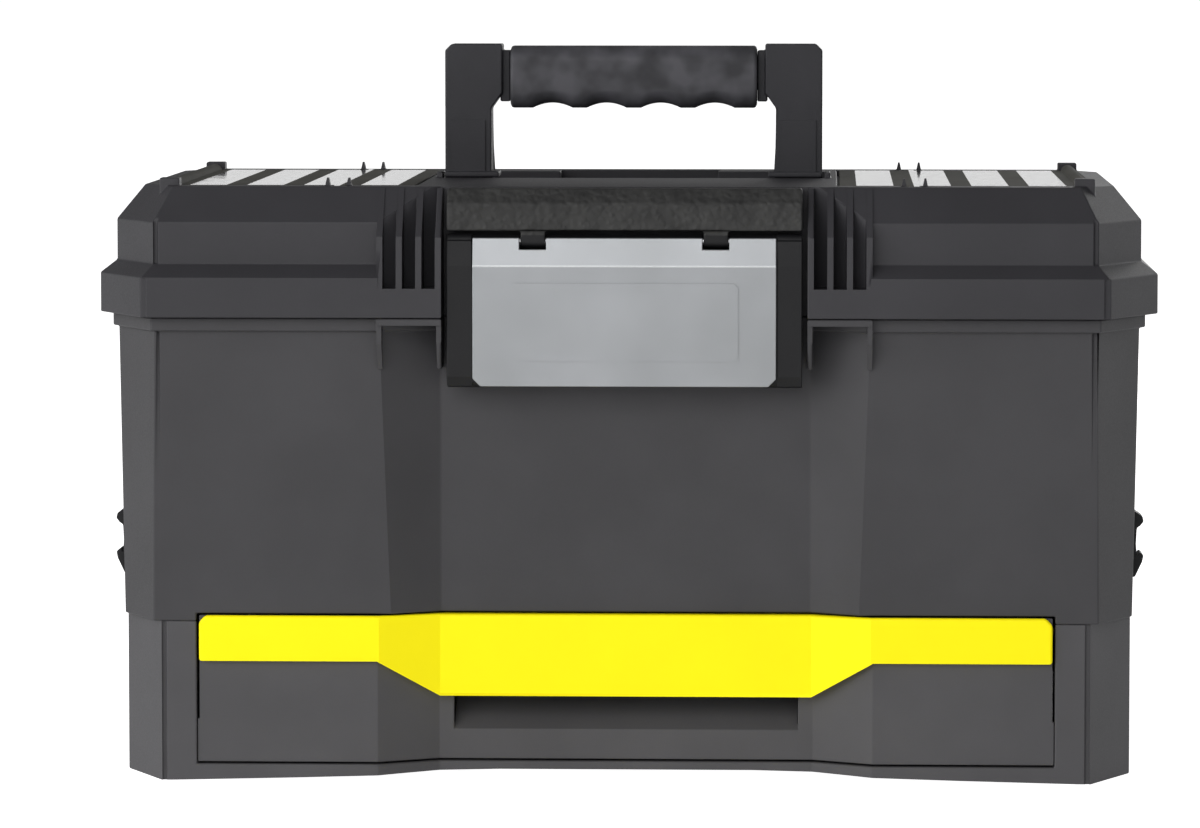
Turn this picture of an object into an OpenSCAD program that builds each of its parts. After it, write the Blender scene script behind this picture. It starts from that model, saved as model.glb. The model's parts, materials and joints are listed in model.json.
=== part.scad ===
// Plastic toolbox with a hinged lid, a single wide latch, a folding carry handle,
// two clear-topped organisers in the lid and a drawer under the tub.
// X is right, Y is to the back, Z is up. The origin is at the middle of the footprint.

/* [Case] */
// Width across the lid rim
rim_w = 481; // [440:1:560]
// Depth over the lid rim and the hinge knuckles
rim_d = 279; // [260:1:340]
// How far the lid rim stands out from the walls
rim_out = 8; // [6:0.5:10]
// Height of the plane where the lid meets the tub
part_z = 210; // [195:1:260]
// Height of the seam between the tub and the drawer housing
seam_z = 72.5; // [68:0.5:86]
// Wall thickness of the large mouldings
wall = 2.8; // [2.2:0.1:3.4]
// Lean of the tub walls for each millimetre of height
draft = 0.021; // [0.01:0.001:0.03]
// Width of the corner chamfer, seen from the front
corner_x = 21; // [14:1:26]
// Length of the corner chamfer, seen from the side
corner_y = 42; // [30:1:50]
// Depth of the hollow down the middle of the front
recess_d = 15; // [12:0.5:16]
// Half width of the floor of that hollow
recess_in = 83.6; // [82:0.2:90]
// Half width of that hollow where it meets the front face
recess_out = 110.5; // [106:0.5:120]
// How far the drawer housing stands inside the tub's outline
base_in = 3.4; // [2:0.2:4]

/* [Lid] */
// Height of the lid top above the meeting plane
lid_h = 58.5; // [54:0.5:70]
// Height of the upright band of the rim
rim_h = 18; // [14:0.5:22]
// Height of the slope above the rim band
rim_slope = 5.8; // [3:0.2:8]
// Height of the bevel round the lid top
bevel_h = 15.8; // [10:0.2:18]
// Width of the bevel at the front and sides
bevel_w = 13; // [8:0.5:16]
// Width of the bevel at the back
bevel_back = 20; // [12:0.5:24]

/* [Hinge] */
// Radius of the hinge knuckles
knuckle_r = 6; // [5:0.5:7]
// Radius of the hinge pins
hinge_pin_r = 2.5; // [2:0.1:3]
// Distance of each hinge from the middle
hinge_x = 140; // [110:1:170]

/* [Latch] */
// Half width of the latch
latch_hw = 79.6; // [76:0.2:81]
// Half width of the silver plate
plate_hw = 68; // [60:0.5:70]
// Height of the latch pin above the meeting plane
latch_pin_up = 34.7; // [33:0.1:38]
// How far the latch reaches below the meeting plane
latch_drop = 31.2; // [28:0.2:34]
// Radius of the latch pin
latch_pin_r = 1.6; // [1.2:0.1:2]

/* [Handle] */
// Half width of the handle
handle_hw = 88.2; // [84:0.2:92]
// Width of each upright
upright_w = 21.7; // [18:0.1:24]
// Thickness of the uprights from front to back
upright_t = 18; // [14:0.5:20]
// Height of the handle above the lid top
handle_up = 62.5; // [50:0.5:80]
// Height of the grip
grip_h = 29; // [24:0.5:32]
// Thickness of the grip from front to back
grip_t = 23; // [20:0.5:25]
// Depth of the handle's pivot below the lid top
pivot_drop = 10; // [9:0.5:12]
// Radius of the pivot pins
pivot_r = 3; // [2.5:0.1:4]

/* [Organisers] */
// Depth of the organiser wells
well_d = 34; // [20:1:36]
// Thickness of the clear lids
clear_t = 2.4; // [1.8:0.1:3]
// Number of compartments across each organiser
well_cells = 4; // [2:1:5]

/* [Drawer] */
// Width of the post on each side of the drawer
post_w = 38.9; // [36:0.1:50]
// Height of the housing floor's upper face
sill_z = 7.6; // [6:0.2:9]
// Travel of the drawer
travel = 150; // [100:5:160]
// Height of the drawer tray's walls
tray_h = 50; // [35:1:52]
// Wall thickness of the drawer tray
tray_wall = 2.2; // [1.8:0.1:3]
// Height of the pull bar at its ends
pull_h = 20.6; // [16:0.2:24]
// How far the middle of the pull bar hangs below its ends
pull_drop = 16.7; // [8:0.1:20]
// Overall height of a ball-bearing slide
rail_h = 27; // [24:1:35]
// Overall thickness of a ball-bearing slide
rail_t = 12.7; // [12.7:0.1:14]
// Sheet thickness of the slides
sheet = 1.2; // [1:0.1:1.4]
// Radius of the bearing balls
ball_r = 2.05; // [1.8:0.05:2.1]

/* [Tote tray] */
// Depth of the tote tray from front to back
tote_d = 148; // [100:1:160]
// Height of the tote tray's walls
tote_h = 54; // [40:1:60]

/* [Clearances] */
// Gap between the lid and the tub when closed
seam_gap = 0.3; // [0.2:0.05:0.6]
// Gap all round a sliding or swinging moulding
run_gap = 1.2; // [0.8:0.1:2]
// Radial play of a pin that turns in its bore
pin_play = 0.06; // [0.02:0.01:0.1]
// Gap between two pieces that are fixed together
fit_gap = 0.05; // [0.02:0.01:0.1]

/* [Hidden] */

body_grey = [0.29, 0.29, 0.31];
lid_grey = [0.27, 0.27, 0.29];
dark_grey = [0.16, 0.16, 0.17];
bright_yellow = [1, 0.93, 0.1];
silver = [0.7, 0.71, 0.73];
steel = [0.6, 0.61, 0.63];
clear = [0.8, 0.85, 0.9, 0.4];

SIDES = [-1, 1];
far = 1000;

// Main planes
hw = rim_w / 2 - rim_out;
y_front = -rim_d / 2 + rim_out;
hinge_y = rim_d / 2 - knuckle_r;
y_back = hinge_y - knuckle_r - 0.5;
hinge_z = part_z - 3;
top_z = part_z + lid_h;
lid_z = part_z + seam_gap;
bevel_z = top_z - bevel_h;
floor_under = seam_z + 3.5;
floor_top = floor_under + wall;

// Corner chamfer as a direction
chamfer = [corner_x, corner_y] / norm([corner_x, corner_y]);
facet_k = tan(atan2(recess_d, recess_out - recess_in) / 2);

// How far a drafted wall leans in at a height
function lean(z) = draft * (part_z - z);

// Right half of the case's plan, grown outwards by g, with a front hollow of a given depth
function half_plan(g, deep) =
    let (ax = hw - corner_x + g * (1 - chamfer[0]) / chamfer[1],
         ay = corner_y - g * (1 - chamfer[1]) / chamfer[0])
    concat(
        deep > 0 ? [[recess_in - facet_k * g, y_front + deep - g],
                    [recess_out - facet_k * g, y_front - g]] : [],
        [[ax, y_front - g], [hw + g, y_front + ay], [hw + g, y_back - ay], [ax, y_back + g]]);

function mirrored(p) = [for (i = [len(p) - 1 : -1 : 0]) [-p[i][0], p[i][1]]];
function plan(g, deep = 0) = concat(half_plan(g, deep), mirrored(half_plan(g, deep)));

// Line along the front, from side to side, at offset g from the front face
function front_line(g, half, deep = recess_d) =
    let (right = [[recess_in - facet_k * g, y_front + deep - g],
                  [recess_out - facet_k * g, y_front - g], [half, y_front - g]])
    concat(mirrored(right), right);
function backwards(p) = [for (i = [len(p) - 1 : -1 : 0]) p[i]];

// Prisms standing on a plan, or running along X or Y
module slab(points, z0, z1) {
    translate([0, 0, z0]) linear_extrude(z1 - z0) polygon(points);
}
module run_x(points, x0, x1) {
    translate([x0, 0, 0]) rotate([90, 0, 90]) linear_extrude(x1 - x0) polygon(points);
}
module run_y(points, y0, y1) {
    translate([0, y1, 0]) rotate([90, 0, 0]) linear_extrude(y1 - y0) polygon(points);
}
module rod_x(r, x0, x1, y, z) {
    translate([x0, y, z]) rotate([0, 90, 0]) cylinder(r = r, h = x1 - x0, $fn = 48);
}
module rod_y(r, y0, y1, x, z) {
    translate([x, y1, z]) rotate([90, 0, 0]) cylinder(r = r, h = y1 - y0, $fn = 48);
}
module rod_z(r, z0, z1, x, y) {
    translate([x, y, z0]) cylinder(r = r, h = z1 - z0, $fn = 48);
}
// Box between two corners
module block(a, b) {
    translate(a) cube(b - a);
}
// Box made on the right and mirrored to the left
module both(a, b) {
    for (s = SIDES) scale_x(s) block(a, b);
}
module scale_x(s) {
    if (s < 0) mirror([1, 0, 0]) children();
    else children();
}
// Pan-head screw along +X, with its head's seat at the origin
module screw(r, l, head_r, head_h) {
    union() {
        rod_x(r, 0, l, 0, 0);
        difference() {
            rod_x(head_r, -head_h, 0, 0, 0);
            for (a = [0, 90]) rotate([a, 0, 0])
                block([-head_h - 1, -head_r * 0.55, -0.35], [-head_h * 0.45, head_r * 0.55, 0.35]);
        }
    }
}

// A block on the case's plan with leaning walls
module drafted(g, z0, z1) {
    x0 = hw + g - lean(z0);
    x1 = hw + g - lean(z1);
    intersection() {
        slab(plan(g, recess_d), z0, z1);
        run_y([[-x0, z0], [x0, z0], [x1, z1], [-x1, z1]], -far, far);
        run_x([[y_front - g + lean(z0), z0], [y_back + g - lean(z0), z0],
               [y_back + g - lean(z1), z1], [y_front - g + lean(z1), z1]], -far, far);
    }
}
// Upright grooves where the front and back faces meet the corner chamfers
groove_w = 2;
groove_d = 1.5;
module corner_grooves(g, z0, z1, back = 0) {
    x = hw - corner_x + g * (1 - chamfer[0]) / chamfer[1];
    for (y = [y_front - g, y_back + g])
        both([x - groove_w, y - groove_d, z0], [x + back, y + groove_d, z1]);
}

// ---- Tub ----
bead_out = 2.5;
bead_h = 6;
pillar_in = recess_in - 1.6;
pillar_out = recess_out + 0.5;
pillar_front = y_front - rim_out;
shelf_h = 3;
gusset_h = 20;
gusset_t = 2.2;
keeper_hw = 58;
keeper_top = part_z - 20.5;
keeper_h = 3.5;
keeper_out = 6;
wall_y = y_front + recess_d;
hinge_len = 24;
hinge_half = 9.6;
knuckle_gap = 0.4;
tote_z = part_z - 4 - tote_h;
tote_y1 = y_back - wall - 6;
ledge_w = 11;
screw_x = hw - 20;
screw_y = 78;
case_screw_r = 2;
boss_r = 5.5;
head_up = 14;

module tub_knuckles() {
    for (s = SIDES) for (e = SIDES) {
        near = hinge_half + knuckle_gap;
        x0 = s * hinge_x + (e > 0 ? near : -hinge_len);
        x1 = s * hinge_x + (e > 0 ? hinge_len : -near);
        rod_x(knuckle_r, x0, x1, hinge_y, hinge_z);
        run_x([[y_back - 1.5, hinge_z - 16], [hinge_y, hinge_z - knuckle_r],
               [hinge_y, hinge_z], [y_back - 1.5, hinge_z]], x0, x1);
    }
}
module pillar_shelf(s) {
    scale_x(s) {
        block([pillar_in, pillar_front, part_z - shelf_h], [pillar_out, wall_y + wall, part_z]);
        for (x = [pillar_in, pillar_out - gusset_t])
            run_x([[wall_y + 1, part_z - shelf_h], [pillar_front + 1, part_z - shelf_h],
                   [pillar_front + 1, part_z - shelf_h - 8],
                   [y_front - 0.5, part_z - shelf_h - gusset_h],
                   [wall_y + 1, part_z - shelf_h - gusset_h]], x, x + gusset_t);
    }
}
module tub() color(body_grey) {
    difference() {
        union() {
            drafted(0, seam_z, part_z);
            difference() {
                slab(plan(bead_out, recess_d), part_z - bead_h, part_z);
                block([-pillar_in, -far, 0], [pillar_in, wall_y, far]);
            }
            for (s = SIDES) pillar_shelf(s);
            block([-keeper_hw, wall_y - keeper_out, keeper_top - keeper_h],
                  [keeper_hw, wall_y + 1, keeper_top]);
            tub_knuckles();
        }
        difference() {
            drafted(-wall, floor_top, part_z + 1);
            both([hw - wall - ledge_w, tote_y1 - tote_d, tote_z - 2.5], [hw, tote_y1, tote_z]);
            for (s = SIDES) for (y = [-screw_y, screw_y])
                rod_z(boss_r, seam_z, floor_top + 8, s * screw_x, y);
        }
        difference() {
            slab(plan(-base_in - wall, recess_d), seam_z - 1, floor_under);
            for (s = SIDES) for (y = [-screw_y, screw_y])
                rod_z(boss_r, seam_z, floor_top, s * screw_x, y);
        }
        block([post_w - hw, -far, seam_z - 1], [hw - post_w, wall_y + 8, floor_under]);
        for (s = SIDES) for (y = [-screw_y, screw_y])
            rod_z(case_screw_r + fit_gap, seam_z - 1, floor_top + 6, s * screw_x, y);
        for (s = SIDES) {
            rod_x(hinge_pin_r + pin_play, s * hinge_x - hinge_len + 1.5,
                  s * hinge_x + hinge_len - 1.5, hinge_y, hinge_z);
            // Room for the lid's knuckle in the rim bead
            block([s * hinge_x - hinge_half - knuckle_gap, y_back, hinge_z - knuckle_r - 1],
                  [s * hinge_x + hinge_half + knuckle_gap, far, part_z + 1]);
        }
        corner_grooves(0, seam_z - 1, part_z - bead_h);
    }
}

// ---- Drawer housing ----
bay_hw = hw - post_w;
bay_back = y_back - base_in - wall - 3.4;
arch = 3.7;
runner_w = 24;
rib_cells_x = 8;
rib_cells_y = 5;
rib_t = 2.4;
rail_y0 = y_front + 22;
rail_len = 224;
rail_z = sill_z + 28;
rail_screw_ys = [30, 112, 194];
rail_screw_r = 1.6;

module housing_arch() {
    x = hw - base_in - runner_w;
    run_y([[-x, -1], [-x, 0], [-x * 0.73, arch * 0.35], [-x * 0.5, arch * 0.72], [-x * 0.28, arch],
           [x * 0.28, arch], [x * 0.5, arch * 0.72], [x * 0.73, arch * 0.35], [x, 0], [x, -1]],
          -far, far);
}
module floor_pockets() {
    x_step = (2 * bay_hw - rib_t) / rib_cells_x;
    y0 = wall_y + 4;
    y_step = (bay_back - 4 - y0) / rib_cells_y;
    for (i = [0 : rib_cells_x - 1]) for (j = [0 : rib_cells_y - 1])
        block([-bay_hw + rib_t + i * x_step, y0 + j * y_step + rib_t, -1],
              [-bay_hw + (i + 1) * x_step, y0 + (j + 1) * y_step, sill_z - rib_t]);
}
module drawer_housing() color(body_grey) {
    g = -base_in;
    difference() {
        slab(plan(g, recess_d), 0, seam_z);
        housing_arch();
        floor_pockets();
        // Drawer bay
        block([-bay_hw, -far, sill_z], [bay_hw, bay_back, far]);
        // Hollow sides between the bay's walls and the outer walls
        difference() {
            slab(plan(g - wall), 4, far);
            block([-bay_hw - wall, -far, 0], [bay_hw + wall, far, far]);
            for (s = SIDES) {
                for (y = [-screw_y, screw_y]) rod_z(boss_r, 0, seam_z, s * screw_x, y);
                for (y = rail_screw_ys)
                    rod_x(4, s > 0 ? bay_hw : -bay_hw - wall - 6,
                          s > 0 ? bay_hw + wall + 6 : -bay_hw, rail_y0 + y, rail_z);
            }
        }
        for (s = SIDES) {
            for (y = [-screw_y, screw_y]) {
                rod_z(case_screw_r + fit_gap, -1, far, s * screw_x, y);
                rod_z(boss_r - 1.2, -1, seam_z - head_up, s * screw_x, y);
            }
            for (y = rail_screw_ys)
                rod_x(rail_screw_r + fit_gap, s > 0 ? bay_hw - 1 : -bay_hw - 8.3,
                      s > 0 ? bay_hw + 8.3 : -bay_hw + 1, rail_y0 + y, rail_z);
        }
        corner_grooves(g, -1, seam_z + 1);
    }
}
module case_screws() color(steel) {
    for (s = SIDES) for (y = [-screw_y, screw_y])
        translate([s * screw_x, y, seam_z - head_up]) rotate([0, -90, 0])
            screw(case_screw_r, head_up + 10, 3.9, 2.6);
}

// ---- Strap cleats on the sides ----
cleat_z = 89;
cleat_h = 30;
cleat_y = y_front + 52;
cleat_len = 15;
cleat_out = 5.5;
module strap_cleat(s) color(dark_grey) {
    x = hw - lean(cleat_z) + fit_gap;
    scale_x(s) difference() {
        run_y([[x - 0.5, cleat_z], [x + 1.6, cleat_z], [x + cleat_out - 0.6, cleat_z + 7],
               [x + cleat_out, cleat_z + 10], [x + cleat_out - 1.6, cleat_z + 11.5],
               [x + 2.4, cleat_z + 9.5], [x + 2, cleat_z + 15], [x + 2.4, cleat_z + 22.5],
               [x + cleat_out - 1.6, cleat_z + 23.5], [x + cleat_out, cleat_z + 25.5],
               [x + cleat_out - 0.6, cleat_z + 28], [x + 1.6, cleat_z + cleat_h],
               [x - 0.5, cleat_z + cleat_h]],
              cleat_y, cleat_y + cleat_len);
        drafted(fit_gap, seam_z, part_z);
    }
}
module strap_cleat_left() strap_cleat(-1);
module strap_cleat_right() strap_cleat(1);

// ---- Lid ----
lid_g = 0.5;
rim_top = lid_z + rim_h;
top_hw = hw + lid_g - bevel_w;
top_front = y_front - lid_g + bevel_w;
top_back = y_back + lid_g - bevel_back;
fin_count = 4;
fin_t = 2.75;
pillar_block_h = 13.2;
pivot_z = top_z - pivot_drop;
hole_hw = handle_hw + run_gap;
hole_front = -upright_t / 2 - run_gap - 1;
grip_top = top_z + handle_up;
swing_r = norm([grip_top - pivot_z, grip_t / 2]);
hole_back = swing_r + run_gap + 1;
hole_floor = pivot_z - grip_t / 2 - run_gap - 0.8;
scoop_hw = 38;
scoop_out = 17;
scoop_d = 14;
well_in = hole_hw + wall + 7;
well_out = top_hw - 17;
well_front = top_front + 20;
well_back = top_back - 19;
well_wall = 2.2;
clear_margin = 3;
clear_in = well_in - clear_margin;
clear_z = top_z - clear_t;
clear_y0 = well_front - clear_margin - run_gap;
clear_y1 = well_back + clear_margin + run_gap;
collar_h = 7;
org_pin_r = 1.5;
org_axis_x = well_out + 3.4;
org_axis_z = top_z - 0.4;
org_barrel_r = 3.2;
org_block_y = 10;
org_block_up = 3.6;
prong_x = 130;
prong_t = 2.3;
prong_pitch = 9.6;
prong_y = 5;

// Plan of the lid top, inside its bevel
function top_plan(g) =
    let (cx = corner_x * 0.75, cy = corner_y * 0.75)
    [[top_hw + g - cx, top_front - g], [top_hw + g, top_front + cy], [top_hw + g, top_back - cy],
     [top_hw + g - cx, top_back + g], [-top_hw - g + cx, top_back + g],
     [-top_hw - g, top_back - cy], [-top_hw - g, top_front + cy], [-top_hw - g + cx, top_front - g]];

module lid_bevel(g) {
    hull() {
        slab(plan(lid_g + g), bevel_z - 1, bevel_z);
        slab(top_plan(g), top_z + g - 0.5, top_z + g);
    }
}
// The hollow down the front, as the room to cut away at offset g
module recess_room(g) {
    xo = recess_out - facet_k * g;
    xi = recess_in - facet_k * g;
    slab([[-xo, -far], [-xo, y_front - g], [-xi, wall_y - g],
          [xi, wall_y - g], [xo, y_front - g], [xo, -far]], 0, far);
}
module lid_outer() {
    difference() {
        union() {
            slab(plan(lid_g), lid_z, bevel_z);
            lid_bevel(0);
            slab(plan(rim_out), lid_z, rim_top);
            hull() {
                slab(plan(rim_out), rim_top - 1, rim_top);
                slab(plan(lid_g), rim_top + rim_slope - 0.5, rim_top + rim_slope);
            }
        }
        recess_room(lid_g);
    }
}
module lid_inner() {
    difference() {
        union() {
            slab(plan(lid_g - wall), 0, bevel_z);
            lid_bevel(-wall);
        }
        recess_room(lid_g - wall);
    }
}
// The rim is a channel, open downwards
module rim_channel() {
    difference() {
        slab(plan(rim_out - wall), 0, rim_top - wall);
        slab(plan(lid_g), -1, rim_top);
        block([-recess_out - 3, -far, -1], [recess_out + 3, 0, far]);
        for (s = SIDES)
            block([s * hinge_x - hinge_len - 4, 0, -1], [s * hinge_x + hinge_len + 4, far, far]);
    }
}
module pillar_fins() {
    pitch = (pillar_out - pillar_in - fin_t) / (fin_count - 1);
    z0 = rim_top - rim_h + pillar_block_h;
    for (i = [0 : fin_count - 1])
        run_x([[wall_y + 1, z0 - 1], [pillar_front, z0 - 1], [pillar_front + 1.5, bevel_z - 6],
               [top_front - 1, top_z - 0.6], [wall_y + 4, top_z - 0.6]],
              pillar_in + i * pitch, pillar_in + i * pitch + fin_t);
}
module lid_pillar(s) {
    scale_x(s) {
        block([pillar_in, pillar_front, lid_z],
              [pillar_out, wall_y + 1, rim_top - rim_h + pillar_block_h]);
        pillar_fins();
    }
}
module lid_knuckles() {
    for (s = SIDES) {
        x0 = s * hinge_x - hinge_half;
        x1 = s * hinge_x + hinge_half;
        rod_x(knuckle_r, x0, x1, hinge_y, hinge_z);
        run_x([[y_back - 0.5, lid_z], [y_back + 1, lid_z], [y_back + 1.5, hinge_z],
               [hinge_y + knuckle_r, hinge_z],
               [hinge_y + knuckle_r - 0.6, lid_z + 9], [y_back - 0.5, lid_z + 14]], x0, x1);
    }
}
module organiser_ears(s) {
    scale_x(s) {
        for (y = [clear_y0 - org_block_y, clear_y1])
            block([org_axis_x - 4.5, y, top_z - 6],
                  [org_axis_x + 4.5, y + org_block_y, top_z + org_block_up]);
        for (y = [clear_y0 - 9, clear_y1 + 9 - prong_y])
            for (e = SIDES)
                translate([prong_x + e * prong_pitch / 2, 0, top_z])
                    run_y([[-prong_t / 2, -4], [prong_t / 2, -4], [prong_t / 2, 0],
                           [prong_t / 6, org_block_up], [-prong_t / 6, org_block_up],
                           [-prong_t / 2, 0]], y, y + prong_y);
    }
}
module lid_shell() color(lid_grey) {
    difference() {
        union() {
            difference() {
                lid_outer();
                lid_inner();
                rim_channel();
            }
            intersection() {
                lid_outer();
                union() {
                    // Collars round the clear lids and their catches
                    both([clear_in - run_gap - 2, clear_y0 - 2, top_z - collar_h],
                         [org_axis_x + org_barrel_r + run_gap + 2, clear_y1 + 2, far]);
                    both([prong_x - prong_pitch / 2 - 2, clear_y0 - 12, top_z - 5.5],
                         [prong_x + prong_pitch / 2 + 2, clear_y1 + 12, far]);
                    both([well_in - well_wall, well_front - well_wall, top_z - well_d - well_wall],
                         [well_out + well_wall, well_back + well_wall, far]);
                    block([-hole_hw - wall, hole_front - wall, hole_floor - wall],
                          [hole_hw + wall, hole_back + wall, far]);
                    block([-scoop_hw - wall, hole_back - 1, top_z - scoop_d - wall],
                          [scoop_hw + wall, hole_back + scoop_out + wall, far]);
                    both([hole_hw, -pivot_r * 3, pivot_z - pivot_r * 2.6],
                         [well_in, pivot_r * 3, far]);
                }
            }
            for (s = SIDES) {
                lid_pillar(s);
                organiser_ears(s);
            }
            // Low pads beside the feet of the handle
            both([hole_hw, -upright_t / 2 - 2, top_z - 1], [hole_hw + 2.6, upright_t / 2 + 2, top_z + 2.8]);
            lid_knuckles();
        }
        both([well_in, well_front, top_z - well_d], [well_out, well_back, far]);
        // Rebates that the clear lids lie in
        both([clear_in - run_gap, clear_y0, clear_z - 0.3],
             [org_axis_x + org_barrel_r + run_gap, clear_y1, far]);
        both([org_axis_x - org_barrel_r - run_gap, clear_y0, org_axis_z - org_barrel_r - 0.8],
             [org_axis_x + org_barrel_r + run_gap, clear_y1, far]);
        for (s = SIDES) {
            x0 = prong_x - prong_pitch / 2 + prong_t / 2;
            x1 = prong_x + prong_pitch / 2 - prong_t / 2;
            scale_x(s) {
                block([x0, clear_y0 - 10, clear_z - 0.3], [x1, clear_y1 + 10, far]);
                rod_y(org_pin_r + pin_play, clear_y0 - org_block_y + 2,
                      clear_y1 + org_block_y - 2, org_axis_x, org_axis_z);
            }
            rod_x(pivot_r + pin_play, s > 0 ? hole_hw - 1 : -well_in + 0.8,
                  s > 0 ? well_in - 0.8 : -hole_hw + 1, 0, pivot_z);
            rod_x(hinge_pin_r + fit_gap, s * hinge_x - hinge_len, s * hinge_x + hinge_len,
                  hinge_y, hinge_z);
            // Room for the tub's knuckles in the rim
            for (e = SIDES)
                block([s * hinge_x + (e > 0 ? hinge_half : -hinge_len - 0.8), y_back - 0.6, 0],
                      [s * hinge_x + (e > 0 ? hinge_len + 0.8 : -hinge_half), far,
                       hinge_z + knuckle_r + 1]);
        }
        block([-hole_hw, hole_front, hole_floor], [hole_hw, hole_back, far]);
        corner_grooves(lid_g, rim_top + rim_slope, far);
        corner_grooves(rim_out, 0, rim_top, corner_x / 3);
        // Finger scoop behind the folded grip
        block([-scoop_hw, hole_back - 1, top_z - scoop_d], [scoop_hw, hole_back + scoop_out, far]);
    }
}
// Textured bar over the latch, with the ears that hold the latch pin
latch_y = y_front;
latch_z = part_z + latch_pin_up;
bar_z0 = latch_z + 4.7;
bar_front = y_front - 3.5;
ear_r = 3;
ear_x = 41;
ear_half = 5.5;
module lid_front_bar() color(dark_grey) {
    difference() {
        union() {
            run_x([[wall_y - lid_g - fit_gap, bar_z0], [bar_front, bar_z0],
                   [bar_front, top_z - 7], [bar_front + 6, top_z - 0.4],
                   [wall_y - lid_g - fit_gap, top_z - 0.4]], -latch_hw, latch_hw);
            for (s = SIDES) {
                rod_x(ear_r, s * ear_x - ear_half, s * ear_x + ear_half, latch_y, latch_z);
                block([s * ear_x - ear_half, latch_y - ear_r, latch_z],
                      [s * ear_x + ear_half, latch_y + ear_r, bar_z0 + 0.1]);
            }
        }
        rod_x(latch_pin_r + fit_gap, -latch_hw, latch_hw, latch_y, latch_z);
    }
}
module hinge_pin(s) color(steel)
    rod_x(hinge_pin_r, s * hinge_x - hinge_len + 2, s * hinge_x + hinge_len - 2, hinge_y, hinge_z);
module hinge_pin_left() hinge_pin(-1);
module hinge_pin_right() hinge_pin(1);

module organiser_dividers(s) color(dark_grey) {
    t = 1.4;
    step = (well_out - well_in) / well_cells;
    scale_x(s) for (i = [1 : well_cells - 1])
        block([well_in + i * step - t / 2, well_front + fit_gap, top_z - well_d + fit_gap],
              [well_in + i * step + t / 2, well_back - fit_gap, clear_z - 1.4]);
}
module organiser_dividers_left() organiser_dividers(-1);
module organiser_dividers_right() organiser_dividers(1);

// ---- Clear organiser lids ----
module organiser_lid(s) color(clear) {
    y0 = well_front - clear_margin;
    y1 = well_back + clear_margin;
    tab_w = prong_pitch - prong_t - 2;
    scale_x(s) difference() {
        union() {
            block([clear_in, y0, clear_z], [org_axis_x, y1, top_z]);
            rod_y(org_barrel_r, y0, y1, org_axis_x, org_axis_z);
            for (y = [y0 - 9, y1 - 1])
                block([prong_x - tab_w / 2, y, clear_z], [prong_x + tab_w / 2, y + 10, top_z]);
            // Rim that stiffens the lid and keeps small parts in
            difference() {
                block([clear_in + 4, y0 + 4, clear_z - 1], [well_out - 3, y1 - 4, clear_z + 0.1]);
                block([clear_in + 6, y0 + 6, clear_z - 2], [well_out - 5, y1 - 6, clear_z]);
            }
        }
        for (y = [y0, y1 - 7])
            rod_y(org_pin_r + fit_gap, y - 0.1, y + 7.1, org_axis_x, org_axis_z);
    }
}
module organiser_lid_left() organiser_lid(-1);
module organiser_lid_right() organiser_lid(1);

module organiser_pins(s) color(steel) {
    scale_x(s) {
        rod_y(org_pin_r, clear_y0 - org_block_y + 3, clear_y0 + 7, org_axis_x, org_axis_z);
        rod_y(org_pin_r, clear_y1 - 7, clear_y1 + org_block_y - 3, org_axis_x, org_axis_z);
    }
}
module organiser_pins_left() organiser_pins(-1);
module organiser_pins_right() organiser_pins(1);

// ---- Latch ----
plate_t = 1.6;
latch_z0 = part_z - latch_drop;
latch_top = latch_z + 2.9;
latch_front = y_front - 6.4;
crease_z = part_z + 23.7;
plate_z0 = latch_z0 + 0.9;
plate_z1 = latch_z + 1.5;
plate_tilt = 2.2;
barrel_r = 2.5;
latch_back = wall_y - lid_g - run_gap;
knuckle_lr = 5.2;
module latch_frame() color(dark_grey) {
    difference() {
        union() {
            for (s = SIDES) scale_x(s) {
                run_x([[latch_front + 2.2, latch_top - 2.5], [latch_front + 1, crease_z],
                       [latch_front + 1, latch_z0 + knuckle_lr], [latch_front + 3, latch_z0 + 1],
                       [latch_y + 4, latch_z0], [latch_back, latch_z0 + 12],
                       [latch_back, latch_z - 9], [latch_y + 3, latch_z - 1]],
                      plate_hw + 0.3, latch_hw);
                rod_x(3.2, plate_hw + 0.3, latch_hw, latch_y, latch_z);
                rod_x(knuckle_lr, plate_hw - 6, latch_hw, latch_y + 1.6, latch_z0 + knuckle_lr);
            }
            // Web behind the plate, and the barrel round the pin
            run_x([[latch_front + plate_t + 0.1, latch_z0 + 3],
                   [latch_front + plate_t + 0.1, crease_z],
                   [latch_y - 1, latch_z], [latch_y + 1.4, latch_z],
                   [latch_front + plate_t + 2.4, crease_z],
                   [latch_front + plate_t + 2.4, latch_z0 + 3]],
                  -plate_hw - 0.5, plate_hw + 0.5);
            rod_x(barrel_r, -plate_hw - 0.5, plate_hw + 0.5, latch_y, latch_z);
            for (x = [-54, -27, 0, 27, 54])
                run_x([[latch_front + plate_t + 2.2, latch_z0 + 3],
                       [latch_y + 4, latch_z0 + 5], [latch_back - 1, latch_z0 + 16],
                       [latch_back - 1, latch_z - 26], [latch_y + 1, latch_z - 9],
                       [latch_front + plate_t + 2.2, latch_z - 9]], x - 1, x + 1);
            // Hook under the keeper
            block([-keeper_hw + 2, latch_front + plate_t + 1, latch_z0 + 2.4],
                  [keeper_hw - 2, wall_y - 3.2, keeper_top - keeper_h - 0.5]);
        }
        // The keeper's own room
        block([-keeper_hw - 1, wall_y - keeper_out - 1, keeper_top - keeper_h - 0.5],
              [keeper_hw + 1, far, keeper_top + 2]);
        for (s = SIDES)
            block([s * ear_x - ear_half - 0.5, latch_y - ear_r - 1, latch_z - ear_r - 1],
                  [s * ear_x + ear_half + 0.5, latch_y + ear_r + 2, far]);
        rod_x(latch_pin_r + pin_play, -latch_hw - 1, latch_hw + 1, latch_y, latch_z);
    }
}
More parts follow.
